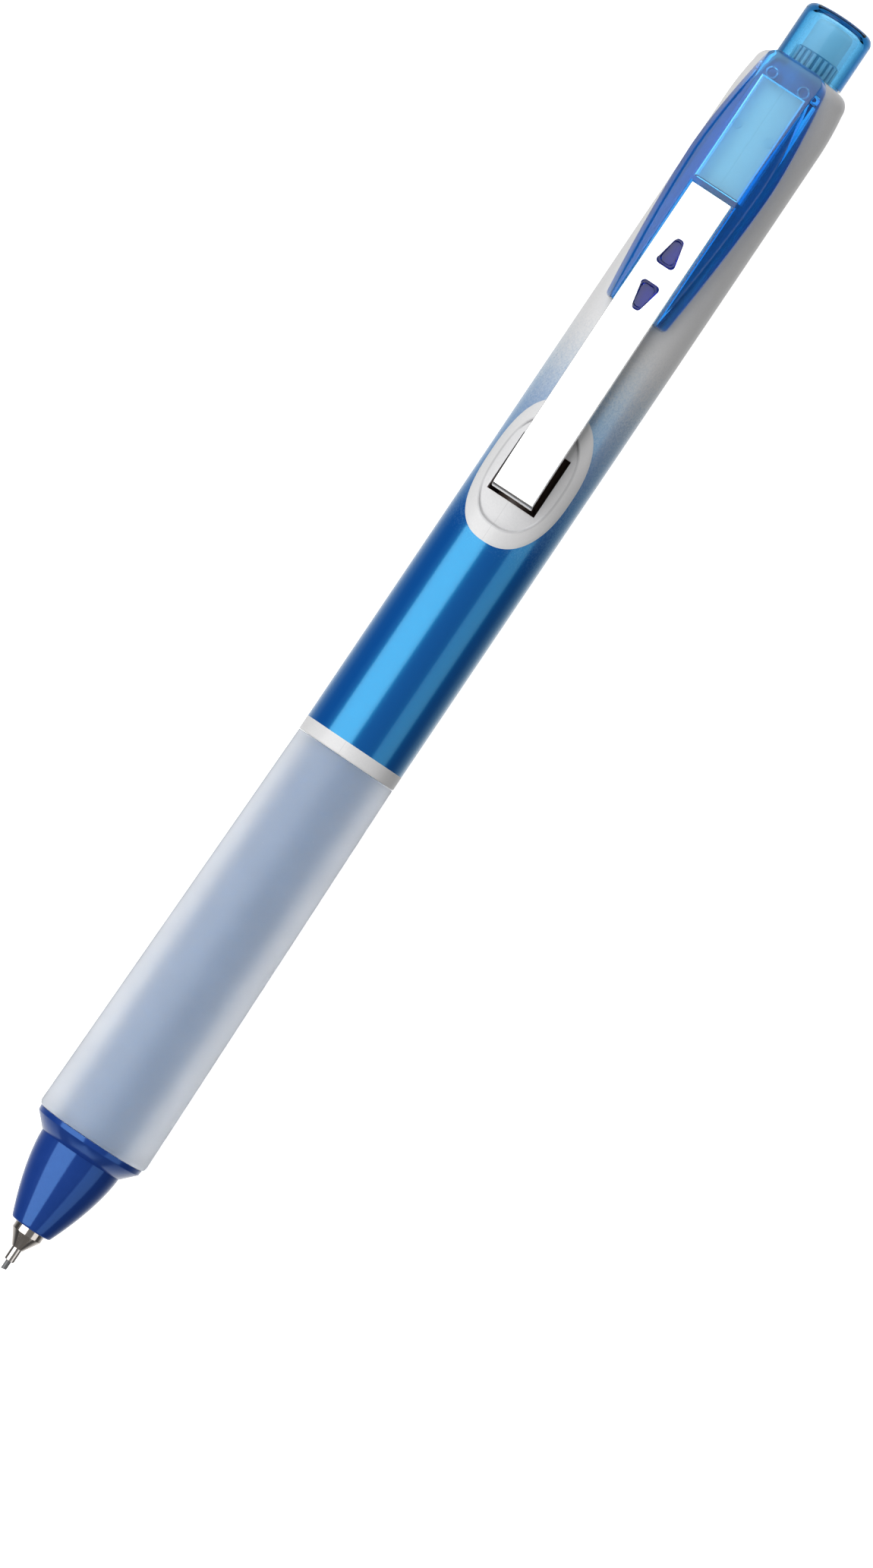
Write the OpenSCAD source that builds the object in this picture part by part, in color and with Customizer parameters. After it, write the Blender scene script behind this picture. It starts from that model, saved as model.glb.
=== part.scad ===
// Push-button mechanical pencil with a rubber grip, a steel clip held in a clear
// plastic holder, and a three-jaw lead clutch. Units are millimetres.
// It is drawn upright: the axis is Z, the tip of the lead is at height 0 and the
// clip faces -Y. Each finished piece is then laid down, so that the pencil lies
// along X with its tip at -X and its clip up, and the origin is on the table
// under its middle.

/* [Lead and tip] */
// Diameter of the lead
lead_d = 0.56; // [0.4:0.02:0.6]
// Length of a new lead
lead_l = 60; // [45:1:75]
// Length of lead showing below its sleeve
lead_out = 1.0; // [0.2:0.1:2]
// Outer diameter of the sleeve that guides the lead
sleeve_d = 1.06; // [0.9:0.02:1.3]
// Length of sleeve showing below the metal tip, which is also its travel
sleeve_out = 1.45; // [0.6:0.05:1.8]
// Outer diameter of the metal tip
tip_d = 3.2; // [3:0.1:3.8]
// Diameter of the flat at the small end of the tip's cone
tip_point_d = 1.24; // [1.2:0.02:1.6]
// Height of the tip's cone
tip_cone_h = 1.6; // [1:0.1:2.4]
// Height of the tip's plain band below the nose
tip_band_h = 0.7; // [0.4:0.1:1.2]

/* [Nose] */
// Diameter of the nose at its lower end
nose_end_d = 4.3; // [4.2:0.1:5.2]
// Diameter of the nose under its flange
nose_d = 8.82; // [8:0.1:10]
// Height of the nose from its lower end to the flange
nose_h = 8.65; // [8:0.1:11]
// Height of the flange's bevel
bevel_h = 1.35; // [0.8:0.05:2]
// Height of the flange's plain rim
rim_h = 0.55; // [0.3:0.05:1]
// Crest diameter of the thread that holds the nose
thread_d = 7.0; // [6.9:0.1:7.2]
// Length of that thread
thread_l = 5.5; // [5:0.5:8]
// Pitch of that thread
thread_pitch = 1.0; // [0.6:0.1:1.4]

/* [Grip] */
// Length of the rubber grip
grip_l = 43.8; // [36:0.2:56]
// How much wider the grip is at its lower end than at the barrel
grip_swell = 1.34; // [0.6:0.02:2.4]
// Step from the grip's lower edge in to the flange's rim, each side
flange_step = 0.25; // [0.1:0.05:0.5]
// Bevel on the grip's lower edge
grip_bevel = 0.2; // [0.1:0.05:0.4]

/* [Barrel] */
// Outer diameter of the barrel
barrel_d = 10.86; // [10.4:0.02:13.4]
// Length of the barrel, from the grip to its top
barrel_l = 79.4; // [74:0.2:96]
// Wall of the barrel
barrel_wall = 1.1; // [1:0.05:1.2]
// Length of the front tube that is held inside the barrel
joint_l = 11; // [8:0.5:16]
// Height over which the barrel's top end draws in
crown_h = 6.0; // [4:0.5:8]

/* [Clip] */
// Width of the clip
clip_w = 4.6; // [3.8:0.1:5]
// Length of the clip
clip_l = 34.65; // [30:0.05:38]
// Thickness of the clip's sheet
clip_t = 0.5; // [0.4:0.05:0.6]
// Depth of the clip's folded edges, sheet included
clip_edge = 1.1; // [0.8:0.05:1.3]
// Gap between the barrel and the clip's flat at its root
clip_gap = 1.65; // [1.4:0.05:2.2]
// Height of the clip's face above the barrel at the tip
clip_tip_h = 0.6; // [0.4:0.05:1]
// Distance from the barrel's top down to the clip's upper end
clip_drop = 15.2; // [13:0.1:17]
// Outer radius of the bend at the clip's tip
clip_bend_r = 0.8; // [0.7:0.05:1]
// How far the clip's foot reaches below the barrel's surface
foot_l = 1.6; // [1:0.1:2]

/* [Clip holder] */
// Greatest width of the clip holder
holder_w = 9.2; // [8.6:0.1:9.8]
// Height of the holder above the barrel
holder_h = 2.55; // [2.4:0.05:3.2]
// Length of the holder
holder_l = 28.6; // [26:0.1:30]
// Width of the holder's flat top beside the clip
holder_top_w = 5.3; // [5.2:0.1:6]
// Height and width of the triangular studs through the clip
stud_h = 3.0; // [2.4:0.1:3.2]
stud_w = 2.2; // [1.6:0.1:2.6]
// Thickness of the holder's window
window_t = 0.8; // [0.7:0.1:1.2]

/* [Pad] */
// Length of the oval dish around the clip's slot
dish_l = 11.9; // [11:0.1:14]
// Width of the dish
dish_w = 7.4; // [6.4:0.1:8]
// Depth of the dish
dish_depth = 0.5; // [0.3:0.05:0.6]
// Length of the slot for the clip's foot
slot_l = 6.4; // [5:0.1:7]

/* [Push parts] */
// Outer diameter of the push cap
cap_d = 7.38; // [6:0.02:8]
// Length of the cap showing above the barrel
cap_out = 6.5; // [6:0.1:8]
// Length of the cap inside the barrel
cap_in = 6.7; // [5:0.1:8]
// Thickness of the cap's top
cap_top_t = 0.9; // [0.7:0.1:1.4]
// Travel of the push cap
push_travel = 4.0; // [3:0.1:4.2]
// Outer diameter and wall of the lead tank
tank_d = 4.3; // [3.5:0.1:5.2]
tank_wall = 0.4; // [0.3:0.05:0.5]
// Diameter of the eraser
eraser_d = 4.0; // [3.4:0.1:4.2]
// Number of ribs round the eraser's holder
rib_count = 24; // [16:1:32]

/* [Clutch] */
// Outer diameter of the fixed clutch sleeve
clutch_d = 5.2; // [5:0.1:5.3]
// Diameter of the chuck's head
chuck_d = 3.2; // [3:0.1:3.3]
// Diameter of the spring's wire
wire_d = 0.3; // [0.25:0.01:0.34]
// Number of turns in the spring
spring_turns = 11; // [8:1:12]

/* [Fits] */
// Radial clearance between pieces that stay together
fit = 0.03; // [0.02:0.01:0.05]
// Radial clearance between pieces that slide or turn
slide = 0.07; // [0.05:0.01:0.1]

/* [Hidden] */
$fn = 64;

// Heights, stacked from the tip of the lead
z_sleeve = lead_out;
z_cone = z_sleeve + sleeve_out;
z_band = z_cone + tip_cone_h;
z_nose = z_band + tip_band_h;
z_flange = z_nose + nose_h;
z_rim = z_flange + bevel_h;
z_grip = z_rim + rim_h;
z_barrel = z_grip + grip_l;
z_top = z_barrel + barrel_l;
z_cap_top = z_top + cap_out;
z_cap_end = z_top - cap_in;

// Radii that follow from the barrel
barrel_r = barrel_d / 2;
barrel_bore_r = barrel_r - barrel_wall;
core_r = barrel_bore_r - fit;
grip_top_r = barrel_r - 0.03;
grip_r = grip_top_r + grip_swell / 2;
flange_r = grip_r - flange_step;

// Nose thread and clutch
thread_r = thread_d / 2;
thread_depth = 0.2;
thread_bore_r = thread_r + slide;
clutch_r = clutch_d / 2;
clutch_wall = 0.45;
clutch_bore_r = clutch_r - clutch_wall;
clutch_seat_z = z_grip - 0.9;
clutch_flange_h = 1.0;
clutch_flange_r = thread_bore_r - slide;
z_thread_top = z_grip + thread_l;
z_clutch_top = z_thread_top + fit + clutch_flange_h;
ring_travel = 1.0;
ring_h = 2.0;
z_ring = clutch_seat_z + ring_travel + fit;
z_web = z_ring + ring_h + fit;
web_t = 0.6;
neck_r = 1.05;
web_bore_r = neck_r + 0.25;

// Metal tip
tip_r = tip_d / 2;
sleeve_r = sleeve_d / 2;
tip_in = 3.6;
z_tip_top = z_nose + tip_in;
sleeve_collar_r = sleeve_r + 0.25;
sleeve_collar_h = 0.4;
sleeve_in = 1.3;
z_collar = z_cone + sleeve_in;
retainer_h = 1.2;
retainer_r = tip_r - 0.4;
lead_r = lead_d / 2;
lead_gap = 0.02;
chamber_r = chuck_d / 2 + 0.25;

// Chuck, spring and the joint to the tank
chuck_r = chuck_d / 2;
z_chuck = z_ring - 1.6;
head_flat_h = 1.3;
z_spring = z_web + web_t + fit;
spring_l = 11.2;
z_joint = z_spring + spring_l + fit;
joint_collar_h = 3.0;
joint_plug_h = 3.5;
chuck_tail_l = 2.0;
spring_r = clutch_bore_r - wire_d / 2 - 0.3;
spring_steps = 16;
spring_sides = 6;

// Tank, eraser and cap
tank_r = tank_d / 2;
tank_bore_r = tank_r - tank_wall;
z_tank = z_joint + joint_collar_h;
eraser_collar_h = 6.5;
z_ferrule = z_top + 2.0 - eraser_collar_h;
eraser_r = eraser_d / 2;
ferrule_r = max(eraser_r + 0.43, tank_r);
ferrule_plug_l = 4.5;
cup_depth = 4.5;
rib_depth = 0.14;
cap_r = cap_d / 2;
cap_bore_r = ferrule_r + slide;
cap_skirt_r = cap_r - 0.25;
z_shank = z_top + 0.3;
cap_guide_r = cap_r + slide;
cap_edge = 0.9;
cap_dome = 0.25;
eraser_head_room = 0.2;

// Clip and holder
z_clip_top = z_top - clip_drop;
z_clip_end = z_clip_top - clip_l;
face_h = barrel_r + clip_gap + clip_t;
z_prong = z_top - 0.1 - holder_l;
z_holder_top = z_top - 0.1;
z_flex = z_prong - 0.3;
stud_step = 4.95;
z_stud_low = z_prong + 0.3;
z_stud_high = z_stud_low + stud_step;
stud_proud = 0.25;
stud_round = 0.45;
clip_half = clip_w / 2;
channel_gap = 0.15;
prong_round = 0.5;
corner_r = 1.2;
prong_narrow = 1.17;
top_narrow = 1.27;
holder_side_drop = 1.5;
holder_tuck = 0.5;
z_holder_wide = z_prong + 16.6;
pin_x = 1.8;
pin_r = 0.5;
pin_in = 0.6;
pin_rows = [z_top - 2.3, z_top - 8.2];
holder_base_h = sqrt(barrel_r * barrel_r - holder_w * holder_w / 4) - 0.3;

// Pad, dish and slot
z_pad = z_clip_end + 2.85;
dish_floor_r = 8;
slot_half_w = clip_half + 0.42;
slot_end_gap = 0.36;
z_slot = z_clip_end - slot_end_gap;

// Radius of the nose at height z between its end and its flange
function nose_r(z) = nose_end_d / 2 + (nose_d - nose_end_d) / 2
    * (1 - pow(max(0, 1 - (z - z_nose) / nose_h), 1.6));

// Half width of the holder at height z, before its top corners are rounded
function holder_run(z) = z < z_holder_wide
    ? (z_holder_wide - z) / (z_holder_wide - z_prong)
    : (z - z_holder_wide) / (z_holder_top - z_holder_wide);
function holder_leaf(z) = holder_w / 2
    - (z < z_holder_wide ? prong_narrow : top_narrow) * pow(holder_run(z), 1.6);
function arc_drop(d, r) = d <= 0 ? 0 : r - sqrt(max(0, r * r - d * d));
function holder_half(z) = holder_leaf(z)
    - arc_drop(z - (z_holder_top - corner_r), corner_r)
    - arc_drop(z_prong + prong_round - z, prong_round);
function holder_flat(z) = min(holder_half(z) - 0.4, holder_top_w / 2
    + (z > z_holder_wide ? 0.4 * holder_run(z) : 0));
function holder_top(z) = barrel_r + holder_h
    - (z < z_holder_wide ? 0.3 * pow(holder_run(z), 2) : 0)
    - arc_drop(z - (z_holder_top - corner_r), corner_r) * 0.35;

// One cross-section of the holder, as points round its right half
function holder_side(z) = let (w = holder_half(z), f = holder_flat(z), t = holder_top(z)) [
    [f, t], [f + 0.3 * (w - f), t - 0.2], [w, t - holder_side_drop],
    [w - 0.05, t - holder_side_drop - 0.9], [w - holder_tuck, holder_base_h]];
function holder_ring(z) = let (s = holder_side(z), n = len(s)) concat(
    [for (i = [0:n - 1]) [s[i][0], -s[i][1], z]],
    [for (i = [n - 1:-1:0]) [-s[i][0], -s[i][1], z]]);

// Heights at which the holder's cross-section is taken
holder_cuts = concat(
    [for (i = [0:3]) z_prong + prong_round * (1 - cos(30 * i))],
    [for (i = [1:14]) z_prong + prong_round
        + (holder_l - prong_round - corner_r) * i / 14],
    [for (i = [1:5]) z_holder_top - corner_r + corner_r * sin(18 * i)]);

// Height of the clip's face over the axis at height z on its arm
clip_tip_face = barrel_r + clip_tip_h;
z_dip = z_clip_end + 5;
dip = 0.45;
function clip_face(z) = let (u = (z_flex - z) / (z_flex - z_clip_end)) face_h
    - (face_h - clip_tip_face - dip) * u
    - (z < z_dip ? dip * pow((z_dip - z) / (z_dip - z_clip_end), 1.5) : 0);

// Lays an upright piece down in its place on the table
module lying() {
    translate([-z_cap_top / 2, 0, grip_r]) rotate([0, 90, 0]) rotate([0, 0, -90]) children();
}

// A ring of rings: the skin of a closed tube whose cross-sections are given
module loft(rings) {
    n = len(rings[0]);
    m = len(rings);
    polyhedron(
        points = [for (r = rings) each r],
        faces = concat(
            [[for (i = [0:n - 1]) i]],
            [for (k = [0:m - 2], i = [0:n - 1]) each [
                [k * n + i, (k + 1) * n + (i + 1) % n, k * n + (i + 1) % n],
                [k * n + i, (k + 1) * n + i, (k + 1) * n + (i + 1) % n]]],
            [[for (i = [n - 1:-1:0]) (m - 1) * n + i]]),
        convexity = 6);
}

// A plain tube standing on height z
module tube(z, h, r, bore) {
    difference() {
        translate([0, 0, z]) cylinder(r = r, h = h);
        translate([0, 0, z - 1]) cylinder(r = bore, h = h + 2);
    }
}

// A hole or rod on the axis from height z
module rod(z, h, r1, r2 = undef) {
    translate([0, 0, z]) cylinder(r1 = r1, r2 = is_undef(r2) ? r1 : r2, h = h);
}

// A flat outline drawn in X and height, standing out along -Y from y0 to y1
module facing(h0, h1) {
    translate([0, -h0, 0]) rotate([90, 0, 0]) linear_extrude(h1 - h0) children();
}

// A flat outline drawn as [height over the axis, height], as wide as w
module across(x, w) {
    multmatrix([[0, 0, 1, x - w / 2], [-1, 0, 0, 0], [0, 1, 0, 0], [0, 0, 0, 1]])
        linear_extrude(w) children();
}

// An oval drawn in X and height, centred on height z
module oval(w, l, z) {
    polygon([for (a = [0:6:354]) [w / 2 * cos(a), z + l / 2 * sin(a)]]);
}

// A triangle with round corners, its base at height 0 and its apex up
module stud_shape(grow = 0) {
    half = stud_w / 2 - stud_round;
    hull() {
        for (x = [-half, half])
            translate([x, stud_round]) circle(r = stud_round + grow, $fn = 24);
        translate([0, stud_h - stud_round]) circle(r = stud_round + grow, $fn = 24);
    }
}

// Both studs, the upper pointing up and the lower pointing down
module stud_pair(h0, h1, grow = 0) {
    facing(h0, h1) {
        translate([0, z_stud_high]) stud_shape(grow);
        translate([0, z_stud_low + stud_h]) mirror([0, 1]) stud_shape(grow);
    }
}

module lead() {
    color("dimgray") lying() rod(0, lead_l, lead_r);
}

module lead_sleeve() {
    color("silver") lying() difference() {
        union() {
            rod(z_sleeve, z_collar - z_sleeve + sleeve_collar_h, sleeve_r);
            rod(z_collar, sleeve_collar_h, sleeve_collar_r);
        }
        rod(z_sleeve - 1, z_collar + 2, lead_r + lead_gap);
    }
}

module tip_cone() {
    chamber_top = z_tip_top - retainer_h;
    color("gainsboro") lying() difference() {
        union() {
            rod(z_cone, tip_cone_h, tip_point_d / 2, tip_r);
            rod(z_band, z_tip_top - z_band, tip_r);
        }
        rod(z_cone - 1, tip_in + 5, sleeve_r + lead_gap);
        rod(z_collar - fit, chamber_top - z_collar + fit, sleeve_collar_r + slide);
        rod(chamber_top, retainer_h + 1, retainer_r + fit);
    }
}

module lead_retainer() {
    z = z_tip_top - retainer_h;
    color("black") lying() difference() {
        rod(z + fit, retainer_h - fit, retainer_r);
        rod(z - 1, retainer_h + 2, lead_r + lead_gap);
        rod(z_tip_top - retainer_h / 2, retainer_h, lead_r, lead_r + retainer_h * 0.8);
    }
}

module nose_cone() {
    root_r = thread_r - thread_depth;
    turns = floor(thread_l / thread_pitch);
    edge = 0.15;
    color("royalblue") lying() difference() {
        union() {
            rotate_extrude() polygon(concat(
                [[0, z_nose], [nose_end_d / 2 - edge, z_nose]],
                [for (i = [1:18]) let (z = z_nose + nose_h * i / 18) [nose_r(z), z]],
                [[flange_r - 0.08, z_rim], [flange_r, z_rim + 0.12], [flange_r, z_grip - fit],
                    [root_r, z_grip - fit], [root_r, z_thread_top], [0, z_thread_top]]));
            // The thread is drawn as plain rings, one for each turn
            for (i = [0:turns - 1])
                rotate_extrude() polygon([
                    [root_r - 0.1, z_grip + (i + 0.2) * thread_pitch],
                    [root_r, z_grip + (i + 0.2) * thread_pitch],
                    [thread_r, z_grip + (i + 0.45) * thread_pitch],
                    [thread_r, z_grip + (i + 0.55) * thread_pitch],
                    [root_r, z_grip + (i + 0.8) * thread_pitch],
                    [root_r - 0.1, z_grip + (i + 0.8) * thread_pitch]]);
        }
        rod(z_nose - 1, z_tip_top - z_nose + 1, tip_r + fit);
        rod(z_tip_top - 0.01, clutch_seat_z - z_tip_top + 0.02, chamber_r);
        rod(clutch_seat_z, z_thread_top, clutch_r + slide);
    }
}

module clutch_sleeve() {
    color("lightgray") lying() difference() {
        union() {
            rod(clutch_seat_z + fit, z_clutch_top - clutch_seat_z - fit, clutch_r);
            rod(z_thread_top + fit, clutch_flange_h, clutch_flange_r);
        }
        rod(clutch_seat_z - 1, z_web - clutch_seat_z + 1, clutch_bore_r);
        rod(z_web - 1, 3, web_bore_r);
        rod(z_web + web_t, z_clutch_top, clutch_bore_r);
    }
}

module clutch_ring() {
    top_r = web_bore_r;
    color("goldenrod") lying() difference() {
        rod(z_ring, ring_h, clutch_bore_r - slide);
        rod(z_ring - 1, ring_h + 2, top_r);
        rod(z_ring - 0.01, ring_h * 0.8, chuck_r + slide, top_r);
    }
}

module chuck() {
    cone_top = z_ring + ring_h * 0.8;
    slot_w = 0.25;
    slot_top = z_web + 5;
    z_end = z_joint + chuck_tail_l;
    color("goldenrod") lying() difference() {
        union() {
            rod(z_chuck, 0.3, chuck_r - 0.3, chuck_r);
            rod(z_chuck + 0.3, head_flat_h, chuck_r);
            rod(z_chuck + 0.3 + head_flat_h, cone_top - z_chuck - 0.3 - head_flat_h,
                chuck_r, neck_r);
            rod(cone_top, z_end - cone_top, neck_r);
        }
        rod(z_chuck - 1, z_end, lead_r + lead_gap);
        rod(z_web, z_end, lead_r + 0.2);
        for (a = [90, 210, 330])
            rotate(a) translate([0, -slot_w / 2, z_chuck - 1])
                cube([chuck_r + 1, slot_w, slot_top - z_chuck + 1]);
    }
}

module return_spring() {
    steps = spring_turns * spring_steps;
    rise = (spring_l - wire_d) / steps;
    wire_r = wire_d / 2;
    color("silver") lying() loft([for (k = [0:steps])
        let (a = k * 360 / spring_steps, z = z_spring + wire_r + k * rise)
        [for (j = [0:spring_sides - 1])
            let (b = -j * 360 / spring_sides, r = spring_r + wire_r * cos(b))
            [r * cos(a), r * sin(a), z + wire_r * sin(b)]]]);
}

module chuck_joint() {
    color("whitesmoke") lying() difference() {
        union() {
            rod(z_joint, joint_collar_h, tank_r);
            rod(z_tank, joint_plug_h, tank_bore_r - fit);
        }
        rod(z_joint - 1, chuck_tail_l + 1, neck_r + fit);
        rod(z_joint, joint_collar_h + joint_plug_h, lead_r + 0.3);
        rod(z_tank + joint_plug_h - 1, 1.1, lead_r + 0.3, tank_bore_r - 0.25);
    }
}

module lead_tank() {
    color("dimgray") lying() tube(z_tank + fit, z_ferrule - z_tank - 2 * fit, tank_r, tank_bore_r);
}

module spare_leads() {
    color("dimgray") lying() for (a = [25, 155])
        rotate(a) translate([(tank_bore_r + lead_r) / 2, 0, 0])
            rod(z_tank + joint_plug_h + 0.5, lead_l, lead_r);
}

module eraser_holder() {
    z_end = z_ferrule + eraser_collar_h;
    pitch = 360 / rib_count;
    color("aliceblue") lying() difference() {
        union() {
            rod(z_ferrule - ferrule_plug_l, ferrule_plug_l + 1, tank_bore_r - fit);
            translate([0, 0, z_ferrule]) linear_extrude(eraser_collar_h) polygon([
                for (i = [0:rib_count - 1], p = [[0.02, 0], [0.42, 0], [0.56, 1], [0.88, 1]])
                    let (a = (i + p[0]) * pitch, r = ferrule_r - p[1] * rib_depth)
                    [r * cos(a), r * sin(a)]]);
        }
        rod(z_end - cup_depth, cup_depth + 1, eraser_r + fit);
    }
}

module eraser() {
    z_end = z_ferrule + eraser_collar_h;
    base = z_end - cup_depth + fit;
    top = z_cap_top - cap_top_t - eraser_head_room;
    edge = 0.5;
    color("white") lying() rotate_extrude() polygon(concat(
        [[0, base], [eraser_r, base]],
        [for (a = [0:15:90]) [eraser_r - edge + edge * cos(a), top - edge + edge * sin(a)]],
        [[0, top]]));
}

module push_cap() {
    side_top = z_cap_top - cap_dome - cap_edge;
    mouth = min(0.4, (cap_skirt_r - cap_bore_r) * 0.6);
    color("deepskyblue") lying() difference() {
        rotate_extrude() polygon(concat(
            [[0, z_cap_end], [cap_skirt_r, z_cap_end], [cap_skirt_r, z_shank], [cap_r, z_shank]],
            [for (a = [0:15:75]) [cap_r - cap_edge + cap_edge * cos(a),
                side_top + cap_edge * sin(a)]],
            [for (u = [0:0.25:1]) [(cap_r - cap_edge) * (1 - u),
                z_cap_top - cap_dome * pow(1 - u, 2)]]));
        rod(z_cap_end - 1, z_cap_top - cap_top_t - z_cap_end + 1, cap_bore_r);
        rod(z_cap_end - 0.01, mouth, cap_bore_r + mouth, cap_bore_r);
    }
}

module grip_sleeve() {
    color("lightsteelblue", 0.7) lying() rotate_extrude() polygon([
        [core_r + fit, z_grip + fit], [grip_r - grip_bevel, z_grip + fit],
        [grip_r, z_grip + grip_bevel * 1.5], [grip_top_r, z_barrel - fit],
        [core_r + fit, z_barrel - fit]]);
}

module front_barrel() {
    shoulder = z_clutch_top + fit;
    z_end = z_barrel + joint_l;
    lip = 0.25;
    color("mediumblue") lying() difference() {
        union() {
            rod(z_grip, z_end - z_grip - lip, core_r);
            rod(z_end - lip, lip, core_r, core_r - lip);
        }
        rod(z_grip - 1, shoulder - z_grip + 1, thread_bore_r);
        rod(shoulder - 1, z_end, thread_bore_r - 0.5);
    }
}

// The barrel's outline from its top edge down to where it turns straight
function crown_points() = let (
        lip_r = cap_guide_r + 0.2,
        bend = 1.5,
        draw = 0.35,
        edge_r = barrel_r - draw,
        z_edge = z_top - bend) concat(
    [for (u = [0:0.2:1]) [barrel_r - draw * u * u, z_top - crown_h + (crown_h - bend) * u]],
    [for (a = [15:15:90]) [lip_r + (edge_r - lip_r) * cos(a), z_edge + bend * sin(a)]]);

module rear_barrel() {
    cap_seat = z_cap_end - push_travel - 0.6;
    floor_h = barrel_r - dish_depth;
    color("gainsboro") lying() difference() {
        rotate_extrude() polygon(concat(
            [[0, z_barrel], [barrel_r, z_barrel]], crown_points(), [[0, z_top]]));
        rod(z_barrel - 1, cap_seat - z_barrel + 1, barrel_bore_r);
        rod(cap_seat - 1, z_top, cap_guide_r);
        // The dish has an oval wall and a floor that is flatter than the barrel
        difference() {
            facing(barrel_r * 0.5, barrel_r + 1) oval(dish_w, dish_l, z_pad);
            translate([0, dish_floor_r - floor_h, z_pad - dish_l])
                cylinder(r = dish_floor_r, h = dish_l * 2, $fn = 96);
        }
        // The slot for the clip's foot
        translate([-slot_half_w, -barrel_r - 1, z_slot])
            cube([2 * slot_half_w, barrel_r, slot_l]);
        // Blind holes for the holder's pins
        for (z = pin_rows, x = [-pin_x, pin_x])
            translate([x, 0, z]) rotate([90, 0, 0])
                translate([0, 0, sqrt(barrel_r * barrel_r - x * x) - pin_in - 0.1])
                    cylinder(r = pin_r + fit, h = 2);
    }
}

module clip_holder() {
    floor_h = face_h - clip_edge - fit;
    tongue_h = face_h - clip_t - fit;
    tongue_w = clip_w - 2 * clip_t - 2 * fit;
    channel_w = clip_w + 2 * channel_gap;
    z_channel = z_clip_top + channel_gap;
    cavity_z = z_channel + 0.5;
    cavity_top = z_top - 2.9;
    color("dodgerblue", 0.8) lying() {
        difference() {
            loft([for (z = holder_cuts) holder_ring(z)]);
            rod(z_prong - 1, holder_l + 3, barrel_r + fit);
            translate([-channel_w / 2, -floor_h - 6, z_prong - 1])
                cube([channel_w, 6, z_channel - z_prong + 1]);
            // The hollow behind the window
            translate([-2.5, -(barrel_r + holder_h - window_t), cavity_z])
                cube([5, holder_h, cavity_top - cavity_z]);
        }
        difference() {
            translate([-tongue_w / 2, -tongue_h, z_prong])
                cube([tongue_w, tongue_h - floor_h + 0.2, z_channel - z_prong + 0.2]);
            rod(z_prong - 1, holder_l, barrel_r + fit);
        }
        stud_pair(tongue_h - 0.1, face_h + stud_proud);
        // The four pins that hold it to the barrel
        for (z = pin_rows, x = [-pin_x, pin_x])
            translate([x, 0, z]) rotate([90, 0, 0])
                translate([0, 0, sqrt(barrel_r * barrel_r - x * x) - pin_in])
                    cylinder(r = pin_r, h = pin_in + holder_h - window_t + 0.4);
    }
}

// The clip's sheet and its two folded edges, from an outline of each
module clip_section(sheet, edge) {
    across(0, clip_w) polygon(sheet);
    for (side = [-1, 1])
        across(side * (clip_half - clip_t / 2), clip_t) polygon(edge);
}

module clip_base() {
    color("white") lying() difference() {
        clip_section(
            [[face_h, z_flex + fit], [face_h, z_clip_top], [face_h - clip_t, z_clip_top],
                [face_h - clip_t, z_flex + fit]],
            [[face_h - 0.1, z_flex + fit], [face_h - 0.1, z_clip_top],
                [face_h - clip_edge, z_clip_top], [face_h - clip_edge, z_flex + fit]]);
        stud_pair(face_h - clip_t - 1, face_h + 1, fit);
    }
}

module clip_arm() {
    z_bend = z_clip_end + clip_bend_r;
    bend_h = clip_face(z_bend) - clip_bend_r;
    inner_r = clip_bend_r - clip_t;
    foot_h = barrel_r - foot_l;
    run = [for (i = [0:20]) z_flex + (z_bend - z_flex) * i / 20];
    edge_l = 4.5;
    color("white") lying() clip_section(
        concat(
            [for (z = run) [clip_face(z), z]],
            [for (a = [15:15:90]) [bend_h + clip_bend_r * cos(a),
                z_bend - clip_bend_r * sin(a)]],
            [[foot_h, z_clip_end], [foot_h, z_clip_end + clip_t]],
            [for (a = [90:-15:0]) [bend_h + inner_r * cos(a), z_bend - inner_r * sin(a)]],
            [for (i = [19:-1:0]) [clip_face(run[i]) - clip_t, run[i]]]),
        concat(
            [for (z = run) [clip_face(z) - 0.1, z]],
            [for (i = [20:-1:0]) let (near = max(0, 1 - (run[i] - z_bend) / edge_l))
                [clip_face(run[i]) - clip_edge + 0.25 * near * near, run[i]]]));
}

lead();
lead_sleeve();
tip_cone();
lead_retainer();
nose_cone();
grip_sleeve();
front_barrel();
rear_barrel();
clip_holder();
clip_base();
clip_arm();
clutch_sleeve();
clutch_ring();
chuck();
return_spring();
chuck_joint();
lead_tank();
spare_leads();
eraser_holder();
eraser();
push_cap();
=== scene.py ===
"""The looks of a push-button mechanical pencil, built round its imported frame.

The pencil lies along X with its tip at -X and its clip up. Sizes of the pencil are in millimetres,
and every place on it is given as (across, out, up): to the right of the axis as seen from the
clip's side with the tip down, out from the axis on the clip's side, and up from the lead's tip.
"""

import math

import bmesh
import bpy
from mathutils import Matrix, Vector


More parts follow.
